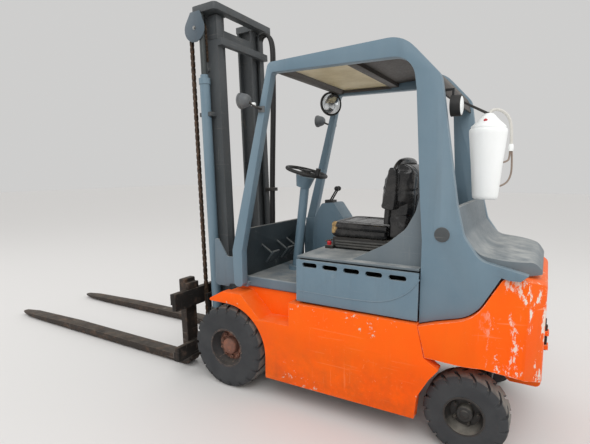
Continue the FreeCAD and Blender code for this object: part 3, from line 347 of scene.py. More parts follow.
def rubber(name, base, dusty, rough=0.8, amount=0.6, scale=14, tread=None):
    material, tree, shader = start_material(name)
    cloud = noise(tree, stretched(tree, (1, 1, 1)), scale, 8, 0.7)
    tone = mix(tree, ramp(tree, cloud, 0.38, 0.68), base, dusty, amount)
    if tread:
        facing = add(tree, "ShaderNodeSeparateXYZ", {0: add(tree, "ShaderNodeNewGeometry").outputs["Normal"]}).outputs[1]
        outward = ramp(tree, math_node(tree, "ABSOLUTE", facing), 0.45, 0.15)
        tone = mix(tree, math_node(tree, "MULTIPLY", outward, ramp(tree, cloud, 0.25, 0.55)), tone, tread, 0.8)
    tone = mix(tree, effect(tree, "edge", Width=0.006, Amount=0.8), tone, dusty, 0.7)
    relief = add(tree, "ShaderNodeBump", {"Height": noise(tree, stretched(tree, (1, 1, 1)), 120, 5, 0.6),
                                          "Distance": 0.001, "Strength": 0.5}).outputs[0]
    tree.links.new(tone, shader.inputs["Base Color"])
    tree.links.new(ramp(tree, cloud, 0.3, 0.7, rough - 0.1, rough + 0.1), shader.inputs["Roughness"])
    tree.links.new(relief, shader.inputs["Normal"])
    return material


TYRE = rubber("tyre_rubber", colour(44, 46, 49), colour(70, 71, 72), 0.78, 0.6, 7, colour(134, 131, 124))
BLACK_PLASTIC = rubber("black_plastic", colour(24, 24, 25), colour(62, 60, 57), 0.5, 0.4, 9)
HOSE_RUBBER = rubber("hose_rubber", colour(22, 22, 22), colour(52, 50, 48), 0.55, 0.3, 30)
VINYL = rubber("seat_vinyl", colour(20, 20, 21), colour(52, 50, 48), 0.42, 0.35, 11)
TANK_WHITE = painted("tank_plastic", colour(244, 246, 246), colour(236, 238, 236), colour(210, 206, 196), edge=0.1,
                     dust=0.1, streak=0.08, scratch=0.1, chip=0.0, rough=0.35)
BATTERY_CASE = rubber("battery_case", colour(24, 24, 26), colour(60, 58, 54))
ROOF_BROWN = painted("roof_brown", colour(50, 43, 38), colour(66, 58, 50), colour(110, 100, 90), edge=0.4,
                     dust=0.5, streak=0.4, scratch=0.2, chip=0.1, rough=0.5)
DECK_GREY = painted("deck_grey", colour(88, 106, 118), colour(102, 116, 126), colour(160, 160, 154), edge=0.6,
                    dust=1.0, streak=0.4, scratch=0.3, chip=0.15, rough=0.55, dusty=colour(176, 174, 168))


def window_material():
    material, tree, shader = start_material("yellowed_window")
    cloud = noise(tree, stretched(tree, (1, 1, 1)), 5, 7, 0.7)
    tone = mix(tree, ramp(tree, cloud, 0.35, 0.7), colour(232, 218, 180), colour(206, 190, 150))
    tree.links.new(tone, shader.inputs["Base Color"])
    tree.links.new(ramp(tree, cloud, 0.3, 0.7, 0.35, 0.6), shader.inputs["Roughness"])
    shader.inputs["Transmission Weight"].default_value = 0.55
    return material


WINDOW = window_material()


def mirror_material():
    material, tree, shader = start_material("mirror_glass")
    cloud = noise(tree, stretched(tree, (1, 1, 1)), 18, 6, 0.6)
    tone = mix(tree, ramp(tree, cloud, 0.5, 0.75), colour(200, 204, 206), colour(130, 128, 122))
    tree.links.new(tone, shader.inputs["Base Color"])
    tree.links.new(ramp(tree, cloud, 0.4, 0.7, 0.05, 0.4), shader.inputs["Roughness"])
    shader.inputs["Metallic"].default_value = 0.9
    return material


MIRROR_GLASS = mirror_material()

# %% [markdown]
# The frame's solids have knife-sharp edges. A pressed or welded part never does, so a copy of
# each solid is merged, its flat faces joined, and every edge rounded a little.

# %% Softened copies of the solids


def only(piece):
    bpy.ops.object.select_all(action="DESELECT")
    piece.select_set(True)
    bpy.context.view_layer.objects.active = piece


def finish_piece(piece, body, material, smooth=35.0, replaced=()):
    """Gives a piece its finish, its smooth shading and, where there is one, the body that it rides on."""
    only(piece)
    piece.data.materials.clear()
    piece.data.materials.append(material)
    bpy.ops.object.shade_smooth_by_angle(angle=math.radians(smooth))
    if body:
        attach(piece, body)
    if replaced:
        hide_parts(*replaced)
    return piece


def body_of_node(node):
    return next(name for name, held in frame["record"]["behaviour"]["bodies"].items() if node in held)


SLOT_OF = {part["node"]: part["material_slot"] for part in frame["record"]["subparts"]}


def softened(node, width, material, segments=2, limit=35.0):
    """A copy of a solid with rounded edges, in the solid's own place."""
    source = frame["nodes"][node]
    piece = source.copy()
    piece.data = source.data.copy()
    piece.name = node + "_dressed"
    bpy.context.scene.collection.objects.link(piece)
    piece.parent = None
    only(piece)
    bpy.ops.object.mode_set(mode="EDIT")
    bpy.ops.mesh.select_all(action="SELECT")
    bpy.ops.mesh.remove_doubles(threshold=0.00005)
    bpy.ops.mesh.dissolve_limited(angle_limit=math.radians(0.6))
    bpy.ops.object.mode_set(mode="OBJECT")
    rounding = piece.modifiers.new("rounding", "BEVEL")
    rounding.width = width
    rounding.segments = segments
    rounding.limit_method = "ANGLE"
    rounding.angle_limit = math.radians(limit)
    rounding.use_clamp_overlap = True
    rounding.harden_normals = False
    bpy.ops.object.modifier_apply(modifier=rounding.name)
    return finish_piece(piece, body_of_node(node), material, 32.0, (node,))


SOFTENED = (
    ("frame", 0.002, BLACK_PAINT), ("counterweight", 0.008, ORANGE_SCUFFED), ("cab_tub", 0.002, DECK_GREY),
    ("bulkhead", 0.002, BULKHEAD_GREY), ("rear_hood", 0.006, HOOD_GREY), ("roof", 0.002, ROOF_BROWN),
    ("side_console", 0.004, BLUE_GREY), ("battery_lid", 0.002, HOOD_GREY), ("seat_base", 0.003, BLACK_PAINT),
    ("mast_outer", 0.002, MAST_PAINT), ("mast_inner", 0.002, MAST_PAINT), ("carriage", 0.002, CARRIAGE_STEEL),
    ("sideshift_frame", 0.002, CARRIAGE_STEEL), ("fork_left", 0.003, FORK_STEEL), ("fork_right", 0.003, FORK_STEEL),
    ("side_panel_left", 0.003, ORANGE), ("side_panel_right", 0.003, ORANGE), ("side_cover_left", 0.003, COVER_GREY),
    ("side_cover_right", 0.003, COVER_GREY), ("guard_left", 0.010, BLUE_GREY), ("guard_right", 0.010, BLUE_GREY),
    ("drive_axle", 0.003, BLACK_PAINT), ("steer_axle", 0.003, BLACK_PAINT),
)
for node, width, material in SOFTENED:
    softened(node, width, material)
print("softened", len(SOFTENED))

# %% [markdown]
# Solids that are already right only need their finish.

# %% Finishes for the solids that stay
PLAIN = {
    "battery": BATTERY_CASE, "tow_pin": CARRIAGE_STEEL, "roof_window": WINDOW, "steering_column": BLUE_GREY,
    "lever_set": BLACK_PLASTIC, "mirror": MIRROR_GLASS, "rear_lamp": BLACK_PLASTIC, "water_tank": TANK_WHITE,
    "steering_wheel": BLACK_PLASTIC,
    # The front rim takes the hub's rust, lightened as painted light.
    "front_rim": HUB_RUST_AND_PAINTED_LIGHT, "rear_rim": BLACK_PAINT, "front_tyre": TYRE, "rear_tyre": TYRE, "knuckle": BLACK_PAINT,
    "work_lamp": BLACK_PLASTIC, "lift_barrel": BLUE_GREY, "lift_rod": ROD_DULL, "chain_front": CHAIN_STEEL,
    "chain_rear": CHAIN_STEEL, "tilt_barrel": BLACK_PAINT, "tilt_rod": ROD_CHROME,
}
for node, item in frame["nodes"].items():
    material = PLAIN.get(node) or PLAIN.get(node.removesuffix("_left").removesuffix("_right"))
    if material is not None:
        item.data.materials.clear()
        item.data.materials.append(material)
        only(item)
        bpy.ops.object.shade_smooth_by_angle(angle=math.radians(32))

# %% [markdown]
# Turned, flat and bent forms are built by three short helpers. Each one closes its mesh, points
# its faces outwards and gives it a finish, so the cells below can speak about the real pieces.

# %% Form helpers
MAST_LEAN = math.radians(2.5)
LEANING = (Matrix.Translation(FRONT_AXLE) @ Matrix.Rotation(MAST_LEAN, 4, "Y") @ Matrix.Translation(-FRONT_AXLE))


def on_mast(x, y, z):
    """A point measured from the front axle in the upright mast, where it stands with the mast leaning."""
    return LEANING @ Vector((FRONT_AXLE.x + x, y, z))


def new_piece(name, points, faces, body, material, slot, replaced=(), smooth=35.0, bevel=0.0):
    mesh = bpy.data.meshes.new(name)
    mesh.from_pydata([tuple(point) for point in points], [], faces)
    piece = bpy.data.objects.new(name, mesh)
    bpy.context.scene.collection.objects.link(piece)
    only(piece)
    bpy.ops.object.mode_set(mode="EDIT")
    bpy.ops.mesh.select_all(action="SELECT")
    bpy.ops.mesh.normals_make_consistent(inside=False)
    bpy.ops.object.mode_set(mode="OBJECT")
    if bevel:
        rounding = piece.modifiers.new("rounding", "BEVEL")
        rounding.width = bevel
        rounding.segments = 2
        rounding.limit_method = "ANGLE"
        bpy.ops.object.modifier_apply(modifier=rounding.name)
    return finish_piece(piece, body, material, smooth, replaced)


def ring_faces(rows, columns, closed_rows=True):
    """Faces between rows of points, where every row is a closed ring of columns."""
    faces = []
    for row in range(rows if closed_rows else rows - 1):
        following = (row + 1) % rows
        for column in range(columns):
            after = (column + 1) % columns
            faces.append((row * columns + column, row * columns + after, following * columns + after,
                          following * columns + column))
    return faces


def turned_form(profile, centre, axis="Y", steps=40):
    """Points and faces of a closed profile of (along, radius) turned about an axis through a centre."""
    points = []
    for step in range(steps):
        angle = 2 * math.pi * step / steps
        for along, radius in profile:
            across, up = radius * math.cos(angle), radius * math.sin(angle)
            offset = {"X": (along, across, up), "Y": (across, along, up), "Z": (across, up, along)}[axis]
            points.append(Vector(centre) + Vector(offset))
    return points, ring_faces(steps, len(profile))


def flat_form(outline, low, high, place):
    """Points and faces of an outline that is given a thickness; place turns (a, b, depth) into a point."""
    count = len(outline)
    points = [place(a, b, low) for a, b in outline] + [place(a, b, high) for a, b in outline]
    faces = [tuple(range(count)), tuple(range(2 * count - 1, count - 1, -1))]
    faces += [(i, (i + 1) % count, count + (i + 1) % count, count + i) for i in range(count)]
    return points, faces


def joined(forms):
    """Several forms as one."""
    points, faces = [], []
    for more_points, more_faces in forms:
        start = len(points)
        points += more_points
        faces += [tuple(index + start for index in face) for face in more_faces]
    return points, faces


def hose(name, route, radius, body, material, rings=0.0):
    """A bent tube whose smooth line follows a few control points."""
    curve = bpy.data.curves.new(name, "CURVE")
    curve.dimensions = "3D"
    curve.bevel_depth = radius
    curve.bevel_resolution = 4
    curve.resolution_u = 10
    curve.use_fill_caps = True
    line = curve.splines.new("NURBS")
    line.points.add(len(route) - 1)
    for point, place in zip(line.points, route):
        point.co = (*place, 1)
    line.order_u = 3
    line.use_endpoint_u = True
    drawn = bpy.data.objects.new(name + "_line", curve)
    bpy.context.scene.collection.objects.link(drawn)
    bpy.context.view_layer.update()
    mesh = bpy.data.meshes.new_from_object(drawn.evaluated_get(bpy.context.evaluated_depsgraph_get()))
    bpy.data.objects.remove(drawn)
    piece = bpy.data.objects.new(name, mesh)
    bpy.context.scene.collection.objects.link(piece)
    return finish_piece(piece, body, material)


# %% [markdown]
# A solid industrial tyre has a thick block tread: slanted bars run in from both shoulders,
# half a bar apart. The ring of points is spaced so that each groove wall falls on its own
# pair of rows, which keeps the walls steep with few faces.

# %% Lugged tyres
GROOVE_STEPS = (0.0, 0.26, 0.30, 0.47, 0.5, 0.76, 0.80, 0.97)
TYRES = (("front_tyre", 19, 0.016, 0.040), ("rear_tyre", 17, 0.014, 0.036))


def in_groove(step, side):
    """Whether a place within one pitch lies in the groove of the inner or the outer shoulder."""
    place = (step + (0.5 if side > 0 else 0.0)) % 1.0
    return 0.78 < place < 0.98


def lugged_tyre(node, pitches, depth, reach):
    low, high = (Vector(corner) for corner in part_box(node))
    centre = (low + high) / 2
    radius = (high.z - low.z) / 2
    half = (high.y - low.y) / 2
    rim = radius * (0.48 if "front" in node else 0.489)
    across = ((-half + 0.004, rim, 0), (-half, rim + 0.018, 0), (-half + 0.003, radius - reach - 0.03, 0),
              (-half, radius - reach - 0.012, 0), (-half, radius - reach, 0.55), (-half + 0.004, radius - 0.02, 1),
              (-half + 0.016, radius - 0.005, 1), (-half + 0.03, radius, 1), (-half * 0.16, radius, 1),
              (-half * 0.1, radius, 0))
    section = list(across) + [(-place, height, lug) for place, height, lug in reversed(across)]
    points = []
    for pitch in range(pitches):
        for step in GROOVE_STEPS:
            for place, height, lug in section:
                slant = 0.55 * abs(place / half) * 2 * math.pi / pitches
                angle = 2 * math.pi * (pitch + step) / pitches + slant
                sunk = depth * lug if in_groove(step, place) else 0.0
                points.append(centre + Vector(((height - sunk) * math.cos(angle), place,
                                               (height - sunk) * math.sin(angle))))
    rows, columns = pitches * len(GROOVE_STEPS), len(section)
    return new_piece(node + "_lugged", points, ring_faces(rows, columns), body_of_node(node), TYRE, SLOT_OF[node],
                     (node,), 28.0)


for name, pitches, depth, reach in TYRES:
    for side, _ in SIDES:
        made = lugged_tyre(f"{name}_{side}", pitches, depth, reach)
print("tyre faces", len(made.data.polygons))

# %% [markdown]
# Six-sided nuts on their studs hold each rim, and a small cap closes the hub.

# %% Wheel nuts
for node, count, ring, across, face, height in (("front_rim", 10, 0.088, 0.0135, 0.520, 0.016),
                                                ("rear_rim", 5, 0.066, 0.011, 0.487, 0.014)):
    # The front nuts and cap share the hub's rust, which is lightened as painted light.
    material = HUB_RUST_AND_PAINTED_LIGHT if node == "front_rim" else BLACK_PAINT
    for name, side in SIDES:
        centre = middle(f"{node}_{name}")
        forms = []
        for index in range(count):
            turn = 2 * math.pi * (index + 0.5) / count
            spot = Vector((centre.x + ring * math.cos(turn), 0, centre.z + ring * math.sin(turn)))
            outline = [(across * math.cos(turn + k * math.pi / 3), across * math.sin(turn + k * math.pi / 3))
                       for k in range(6)]
            forms.append(flat_form(outline, side * (face - 0.002), side * (face + height),
                                   lambda a, b, y, spot=spot: spot + Vector((a, y, b))))
            forms.append(turned_form([(side * face, 0.001), (side * face, 0.007), (side * (face + height + 0.01), 0.006),
                                      (side * (face + height + 0.01), 0.001)], spot, "Y", 8))
        cap = 0.044 if node == "front_rim" else 0.032
        boss = 0.562 if node == "front_rim" else 0.516
        forms.append(turned_form([(side * boss, 0.001), (side * boss, cap), (side * (boss + 0.010), cap - 0.004),
                                  (side * (boss + 0.016), cap * 0.6), (side * (boss + 0.017), 0.001)],
                                 Vector((centre.x, 0, centre.z)), "Y", 28))
        new_piece(f"{node}_nuts_{name}", *joined(forms), body_of_node(f"{node}_{name}"), material,
                  SLOT_OF[f"{node}_{name}"])

# %% [markdown]
# Leaf chains lift the carriage. They are plates on pins without rollers: an odd row shows three
# plates, an even row two, and each plate is a flat figure with round ends.

# %% Lift chains
CHAIN_Y = 0.318
CHAIN_PITCH = 0.0254
SHEAVE = (0.341, 2.632, 0.068)
PLATES = ((-0.011, -0.0035, 0.004, 0.0115), (-0.0075, 0.0, 0.0075))


def chain_rows(route, length):
    """The pins along a route: their places across X and Z."""
    return [route(index * CHAIN_PITCH) for index in range(int(length / CHAIN_PITCH) + 1)]


def leaf_chain(name, rows, y, slot, replaced):
    forms = []
    half = 0.012
    for index in range(len(rows) - 1):
        (x0, z0), (x1, z1) = rows[index], rows[index + 1]
        along = Vector((x1 - x0, z1 - z0))
        reach = along.length / 2
        along.normalize()
        normal = Vector((-along.y, along.x))
        middle_x, middle_z = (x0 + x1) / 2, (z0 + z1) / 2
        outline = []
        for end in (1, -1):
            for turn in (-75, -25, 25, 75):
                angle = math.radians(turn)
                a = end * (reach + half * math.cos(angle))
                b = end * half * math.sin(angle)
                outline.append((middle_x + along.x * a + normal.x * b, middle_z + along.y * a + normal.y * b))
        for offset in PLATES[index % 2]:
            forms.append(flat_form(outline, y + offset - 0.0014, y + offset + 0.0014, on_chain))
        pin = [(x0 + 0.0045 * math.cos(k * math.pi / 3), z0 + 0.0045 * math.sin(k * math.pi / 3)) for k in range(6)]
        forms.append(flat_form(pin, y - 0.0145, y + 0.0145, on_chain))
    return new_piece(name, *joined(forms), None, CHAIN_STEEL, slot, replaced, 30.0)


def on_chain(a, b, depth):
    return on_mast(a, depth, b)


def front_run(s):
    return (SHEAVE[0] + SHEAVE[2], 0.402 + s)


def rear_run(s):
    """Up from the anchor, then half round the sheave to its front side."""
    straight = SHEAVE[1] - 2.402
    if s < straight:
        return (SHEAVE[0] - SHEAVE[2], 2.402 + s)
    angle = math.pi - (s - straight) / SHEAVE[2]
    return (SHEAVE[0] + SHEAVE[2] * math.cos(angle), SHEAVE[1] + SHEAVE[2] * math.sin(angle))


for name, side in SIDES:
    front = leaf_chain(f"front_chain_{name}", chain_rows(front_run, SHEAVE[1] - 0.402), side * CHAIN_Y,
                       SLOT_OF[f"chain_front_{name}"], (f"chain_front_{name}",))
    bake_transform(front)
    rear = leaf_chain(f"rear_chain_{name}", chain_rows(rear_run, SHEAVE[1] - 2.402 + math.pi * SHEAVE[2]),
                      side * CHAIN_Y, SLOT_OF[f"chain_rear_{name}"], (f"chain_rear_{name}",))
    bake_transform(rear)
print("chain faces", len(front.data.polygons) + len(rear.data.polygons))

# %% [markdown]
# The seat is glossy black vinyl over foam. Air pressure in a cloth simulation swells a slightly
# smaller copy of each cushion, a cap keeps it in its place, and the seams are pressed in after.
# The front corner of the cushion is torn, and old yellow foam shows there.

# %% Seat cushions


def torn_vinyl(name, torn_at, torn_reach):
    material, tree, shader = start_material(name)
    place = add(tree, "ShaderNodeTexCoord").outputs["Object"]
    away = add(tree, "ShaderNodeVectorMath", {0: place, 1: torn_at}, operation="DISTANCE").outputs["Value"]
    ragged = math_node(tree, "ADD", away, math_node(tree, "MULTIPLY", noise(tree, place, 28, 6, 0.7), torn_reach))
    hole = ramp(tree, ragged, torn_reach * 1.3, torn_reach * 1.22)
    cloud = noise(tree, stretched(tree, (1, 1, 1)), 9, 7, 0.65)
    tone = mix(tree, ramp(tree, cloud, 0.4, 0.75), colour(19, 19, 21), colour(66, 64, 62), 0.8)
    foam = mix(tree, ramp(tree, noise(tree, place, 70, 5, 0.7), 0.35, 0.65), colour(186, 156, 104), colour(120, 92, 58))
    tone = mix(tree, hole, tone, foam)
    leather = add(tree, "ShaderNodeTexVoronoi", {"Vector": place, "Scale": 420.0}).outputs["Distance"]
    relief = add(tree, "ShaderNodeBump", {"Height": leather, "Distance": 0.0006, "Strength": 0.12}).outputs[0]
    tree.links.new(tone, shader.inputs["Base Color"])
    tree.links.new(math_node(tree, "ADD", ramp(tree, cloud, 0.3, 0.7, 0.16, 0.34), math_node(tree, "MULTIPLY", hole, 0.5),
                             True), shader.inputs["Roughness"])
    tree.links.new(relief, shader.inputs["Normal"])
    return material


def puffed(node, inset, cap, material, seams):
    """A cushion swollen by air pressure, with seams pressed into it."""
    source = frame["nodes"][node]
    piece = bpy.data.objects.new(node + "_padded", source.data.copy())
    bpy.context.scene.collection.objects.link(piece)
    low, high = (Vector(corner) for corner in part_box(node))
    centre, extent = (low + high) / 2, high - low
    for point in piece.data.vertices:
        point.co = centre + (point.co - centre) * Vector([1 - 2 * inset / side for side in extent])
    only(piece)
    blocks = piece.modifiers.new("blocks", "REMESH")
    blocks.mode = "VOXEL"
    blocks.voxel_size = 0.009
    bpy.ops.object.modifier_apply(modifier=blocks.name)
    before = [point.co.copy() for point in piece.data.vertices]
    air = piece.modifiers.new("air", "CLOTH")
    air.settings.use_pressure = True
    air.settings.uniform_pressure_force = 4.0
    air.settings.effector_weights.gravity = 0.0
    air.settings.quality = 3
    for step in range(1, 21):
        bpy.context.scene.frame_set(step)
    only(piece)
    bpy.ops.object.modifier_apply(modifier=air.name)
    bpy.context.scene.frame_set(1)
    for point, start in zip(piece.data.vertices, before):
        move = point.co - start
        if move.length > cap:
            point.co = start + move.normalized() * cap
    calm = piece.modifiers.new("calm", "SMOOTH")
    calm.factor = 0.5
    calm.iterations = 4
    bpy.ops.object.modifier_apply(modifier=calm.name)
    for point in piece.data.vertices:
        for across, place, depth in seams:
            near = point.co["xyz".index(across)] - place
            point.co += point.normal * -depth * math.exp(-(near / 0.007) ** 2)
        for axis in range(3):
            point.co[axis] = min(max(point.co[axis], low[axis] - 0.004), high[axis] + 0.004)
    finer = piece.modifiers.new("finer", "SUBSURF")
    finer.levels = 1
    bpy.ops.object.modifier_apply(modifier=finer.name)
    finish_piece(piece, body_of_node(node), material, 60.0, (node,))
    return piece


SEAT_LOW, SEAT_HIGH = (Vector(corner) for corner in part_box("seat_cushion"))
BACK_LOW, BACK_HIGH = (Vector(corner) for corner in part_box("seat_backrest"))
SEAT_MIDDLE_Y = (SEAT_LOW.y + SEAT_HIGH.y) / 2
print("cushion", SEAT_LOW, SEAT_HIGH, "backrest", BACK_LOW, BACK_HIGH)
TORN = torn_vinyl("torn_vinyl", (SEAT_HIGH.x - 0.02, SEAT_HIGH.y - 0.03, SEAT_HIGH.z - 0.02), 0.075)
puffed("seat_cushion", 0.012, 0.016, TORN,
       (("y", SEAT_MIDDLE_Y - 0.14, 0.008), ("y", SEAT_MIDDLE_Y + 0.14, 0.008),
        ("x", SEAT_LOW.x + 0.16, 0.005), ("x", SEAT_LOW.x + 0.29, 0.005)))
puffed("seat_backrest", 0.012, 0.016, TORN,
       (("y", SEAT_MIDDLE_Y - 0.13, 0.007), ("y", SEAT_MIDDLE_Y + 0.13, 0.007),
        ("z", BACK_LOW.z + 0.17, 0.005), ("z", BACK_LOW.z + 0.33, 0.005)))

# %% [markdown]
# The beams of the outer mast rise to just under the crosshead, and a half-round guard with one
# bright bolt covers each chain wheel. The crosshead itself is a bar with two arms, so the middle
# of its plate is cut away.

# %% Mast head


def in_mast(a, b, depth):
    return on_mast(a, depth, b)


def on_truck(x, y, z):
    """A point measured from the front axle."""
    return Vector((FRONT_AXLE.x + x, y, z))


head = bpy.data.objects["mast_inner_dressed"]
opening = bpy.data.objects.new("opening", bpy.data.meshes.new("opening"))
points, faces = flat_form([(0.182, 2.731), (0.36, 2.731), (0.36, 2.80), (0.182, 2.80)], -0.176, 0.176, in_mast)
opening.data.from_pydata([tuple(point) for point in points], [], faces)
bpy.context.scene.collection.objects.link(opening)
only(opening)
bpy.ops.object.mode_set(mode="EDIT")
bpy.ops.mesh.select_all(action="SELECT")
bpy.ops.mesh.normals_make_consistent(inside=False)
bpy.ops.object.mode_set(mode="OBJECT")
only(head)
notch = head.modifiers.new("notch", "BOOLEAN")
notch.operation = "DIFFERENCE"
notch.object = opening
bpy.ops.object.modifier_apply(modifier=notch.name)
bpy.data.objects.remove(opening)

for name, side in SIDES:
    beam = [flat_form([(0.167, 0.245), (0.185, 0.245), (0.185, 0.305), (0.167, 0.305)], 2.545, 2.722,
                      lambda a, b, z, side=side: on_mast(a, side * b, z)),
            flat_form([(0.184, 0.287), (0.248, 0.287), (0.248, 0.305), (0.184, 0.305)], 2.545, 2.722,
                      lambda a, b, z, side=side: on_mast(a, side * b, z))]
    new_piece(f"beam_head_{name}", *joined(beam), "mast", MAST_PAINT, SLOT_OF["mast_outer"], (), 35.0, 0.002)
    rim = [(0.318 + 0.097 * math.cos(math.radians(turn)), 2.626 + 0.097 * math.sin(math.radians(turn)))
           for turn in range(-212, 33, 12)]
    rim += [(0.372, 2.716), (0.352, 2.748), (0.262, 2.748), (0.246, 2.716)]
    guard_plate = flat_form(rim, side * 0.3775, side * 0.3835, in_mast)
    # The guard plate's darker blue-grey is painted shade.
    new_piece(f"chain_guard_{name}", *guard_plate, "inner_mast", CHAIN_GUARD_PAINTED_SHADE, SLOT_OF["mast_inner"], (), 35.0,
              0.0015)
    bolt = turned_form([(side * 0.383, 0.001), (side * 0.383, 0.014), (side * 0.386, 0.014), (side * 0.386, 0.009),
                        (side * 0.393, 0.009), (side * 0.393, 0.001)], on_mast(0.318, 0, 2.632), "Y", 12)
    new_piece(f"chain_guard_bolt_{name}", *bolt, "inner_mast", ROD_CHROME, SLOT_OF["lift_rod_left"])

# %% [markdown]
# Two ribbed hydraulic hoses feed the cylinders. They leave the head of the right beam, turn over
# in a small loop and hang down behind the beam to a clamp and the floor.

# %% Mast hoses
HOSE_DROP = ((0.185, 2.640), (0.175, 2.705), (0.095, 2.715), (0.050, 2.62), (0.060, 2.40), (0.068, 2.15), (0.092, 1.80),
             (0.118, 1.40), (0.128, 1.10), (0.150, 0.90), (0.172, 0.84))
for index, y in enumerate((-0.262, -0.298)):
    route = [on_mast(a, y, b) for a, b in HOSE_DROP]
    hose(f"mast_hose_{index}", route, 0.0135, "mast", HOSE_RUBBER)
clamp = flat_form([(0.085, -0.318), (0.168, -0.318), (0.168, -0.243), (0.085, -0.243)], 1.385, 1.415,
                  lambda a, b, z: on_mast(a, b, z))
new_piece("hose_clamp", *clamp, "mast", BLACK_PAINT, SLOT_OF["mast_outer"], (), 35.0, 0.003)

# %% [markdown]
# Working lamps have a domed housing, a bezel and a ribbed lens, and sit on a bent arm with a
# pale clamp. The wide mirror is a shallow dome in a black frame.

# %% Lamps and mirror
LENS = mirror_material()
LAMP_GREY = rubber("lamp_grey", colour(84, 88, 92), colour(122, 122, 118), 0.5, 0.5, 9)
for name, x, z, side in (("left", -0.232, 2.010, 1), ("right", -0.170, 1.995, -1)):
    centre = on_truck(x, side * 0.604, z)
    shell = turned_form([(-0.010, 0.001), (-0.010, 0.020), (-0.002, 0.031), (0.012, 0.040), (0.034, 0.046),
                         (0.050, 0.048), (0.050, 0.052), (0.063, 0.052), (0.063, 0.046), (0.058, 0.045),
                         (0.058, 0.001)], centre, "X", 36)
    plate = flat_form([(-0.320, 1.935), (-0.272, 1.935), (-0.272, 1.975), (-0.320, 1.975)], side * 0.550, side * 0.557,
                      lambda a, b, y: on_truck(a, y, b))
    new_piece(f"lamp_housing_{name}", *joined([shell, plate]), "chassis", LAMP_GREY, SLOT_OF[f"work_lamp_{name}"],
              (f"work_lamp_{name}",), 40.0)
    glass = turned_form([(0.057, 0.001), (0.061, 0.020), (0.060, 0.034), (0.057, 0.044), (0.055, 0.044),
                         (0.055, 0.001)], centre, "X", 36)
    new_piece(f"lamp_glass_{name}", *glass, "chassis", LENS, SLOT_OF["mirror"])
    hose(f"lamp_arm_{name}", [on_truck(-0.296, side * 0.556, 1.956), on_truck(-0.290, side * 0.590, 1.958),
                              on_truck(x - 0.034, side * 0.604, z - 0.034), on_truck(x - 0.004, side * 0.604, z - 0.010)],
         0.0075, "chassis", BLACK_PAINT)
    knob = turned_form([(0.0, 0.001), (0.0, 0.016), (0.016, 0.016), (0.020, 0.010), (0.020, 0.001)],
                       on_truck(-0.262, side * 0.592, 1.975), "Z", 14)
    new_piece(f"lamp_clamp_{name}", *knob, "chassis", TANK_WHITE, SLOT_OF["water_tank"])

MIRROR_AT = on_truck(-0.330, -0.405, 2.105)
TURNED = Matrix.Translation(MIRROR_AT) @ Matrix.Rotation(math.radians(-34), 4, "Z") @ Matrix.Translation(-MIRROR_AT)


def turned_to_driver(points, faces):
    return [TURNED @ point for point in points], faces


ring = turned_form([(0.006, 0.001), (0.006, 0.088), (-0.004, 0.097), (-0.020, 0.097), (-0.020, 0.090),
                    (-0.008, 0.088), (-0.008, 0.001)], MIRROR_AT, "X", 44)
stem = turned_form([(0.088, 0.001), (0.088, 0.009), (0.116, 0.009), (0.116, 0.001)], MIRROR_AT, "Z", 12)
new_piece("mirror_frame", *turned_to_driver(*joined([ring, stem])), "chassis", BLACK_PLASTIC, SLOT_OF["mirror"],
          ("mirror",), 40.0)
dome = turned_form([(-0.010, 0.0895), (-0.030, 0.078), (-0.046, 0.056), (-0.055, 0.030), (-0.058, 0.001),
                    (-0.006, 0.001), (-0.006, 0.0895)], MIRROR_AT, "X", 44)
new_piece("mirror_dome", *turned_to_driver(*dome), "chassis", MIRROR_GLASS, SLOT_OF["mirror"], (), 50.0)
tail = turned_form([(-0.005, 0.001), (-0.004, 0.040), (0.0, 0.050), (0.004, 0.050), (0.004, 0.001)],
                   on_truck(-1.5005, 0.380, 1.915), "X", 32)
new_piece("rear_lamp_glass", *tail, "chassis", TANK_WHITE, SLOT_OF["rear_lamp"], (), 50.0)

# %% [markdown]
# The battery's top-up tank is blow-moulded white plastic with soft shoulders and a screwed lid.
# A white hose leaves the lid, and two thin ones branch off below its fitting.

# %% Water tank
TANK = on_truck(-1.620, 0.200, 0)
tank = turned_form([(1.397, 0.001), (1.397, 0.060), (1.403, 0.067), (1.420, 0.070), (1.600, 0.085), (1.770, 0.1015),
                    (1.789, 0.102), (1.797, 0.098), (1.800, 0.092), (1.806, 0.094), (1.812, 0.092), (1.846, 0.056),
                    (1.872, 0.034), (1.882, 0.024), (1.886, 0.012), (1.886, 0.001)], TANK, "Z", 56)
strap = flat_form([(-1.628, 1.884), (-1.616, 1.874), (-1.4235, 1.980), (-1.4235, 1.992)], 0.184, 0.216,
                  lambda a, b, y: on_truck(a, y, b))
hook = flat_form([(-1.430, 1.978), (-1.4195, 1.978), (-1.4152, 2.000), (-1.430, 2.000)], 0.184, 0.216,
                 lambda a, b, y: on_truck(a, y, b))
new_piece("tank_shell", *tank, "chassis", TANK_WHITE, SLOT_OF["water_tank"], ("water_tank",), 50.0)
new_piece("tank_strap", *joined([strap, hook]), "chassis", BLACK_PAINT, SLOT_OF["bulkhead"], (), 35.0, 0.001)
BUTTON_RED = rubber("red_button", colour(190, 24, 34), colour(150, 40, 40), 0.35, 0.3, 20)
button = turned_form([(0.0, 0.001), (0.0, 0.011), (0.006, 0.009), (0.008, 0.001)],
                     TANK + Vector((0.010, 0.0585, 1.840)), "Y", 16)
new_piece("tank_button", *button, "chassis", BUTTON_RED, SLOT_OF["water_tank"], (), 50.0)
TUBE_WHITE = rubber("tube_white", colour(206, 204, 198), colour(176, 170, 160), 0.4, 0.3, 20)
TUBE_BROWN = rubber("tube_brown", colour(140, 124, 112), colour(120, 104, 92), 0.4, 0.3, 20)
hose("tank_hose", [TANK + Vector(spot) for spot in ((0, 0, 1.880), (-0.006, -0.008, 1.905), (-0.060, -0.030, 1.905),
                                                    (-0.105, -0.050, 1.860), (-0.118, -0.055, 1.775),
                                                    (-0.118, -0.055, 1.705))],
     0.0085, "chassis", TUBE_WHITE)
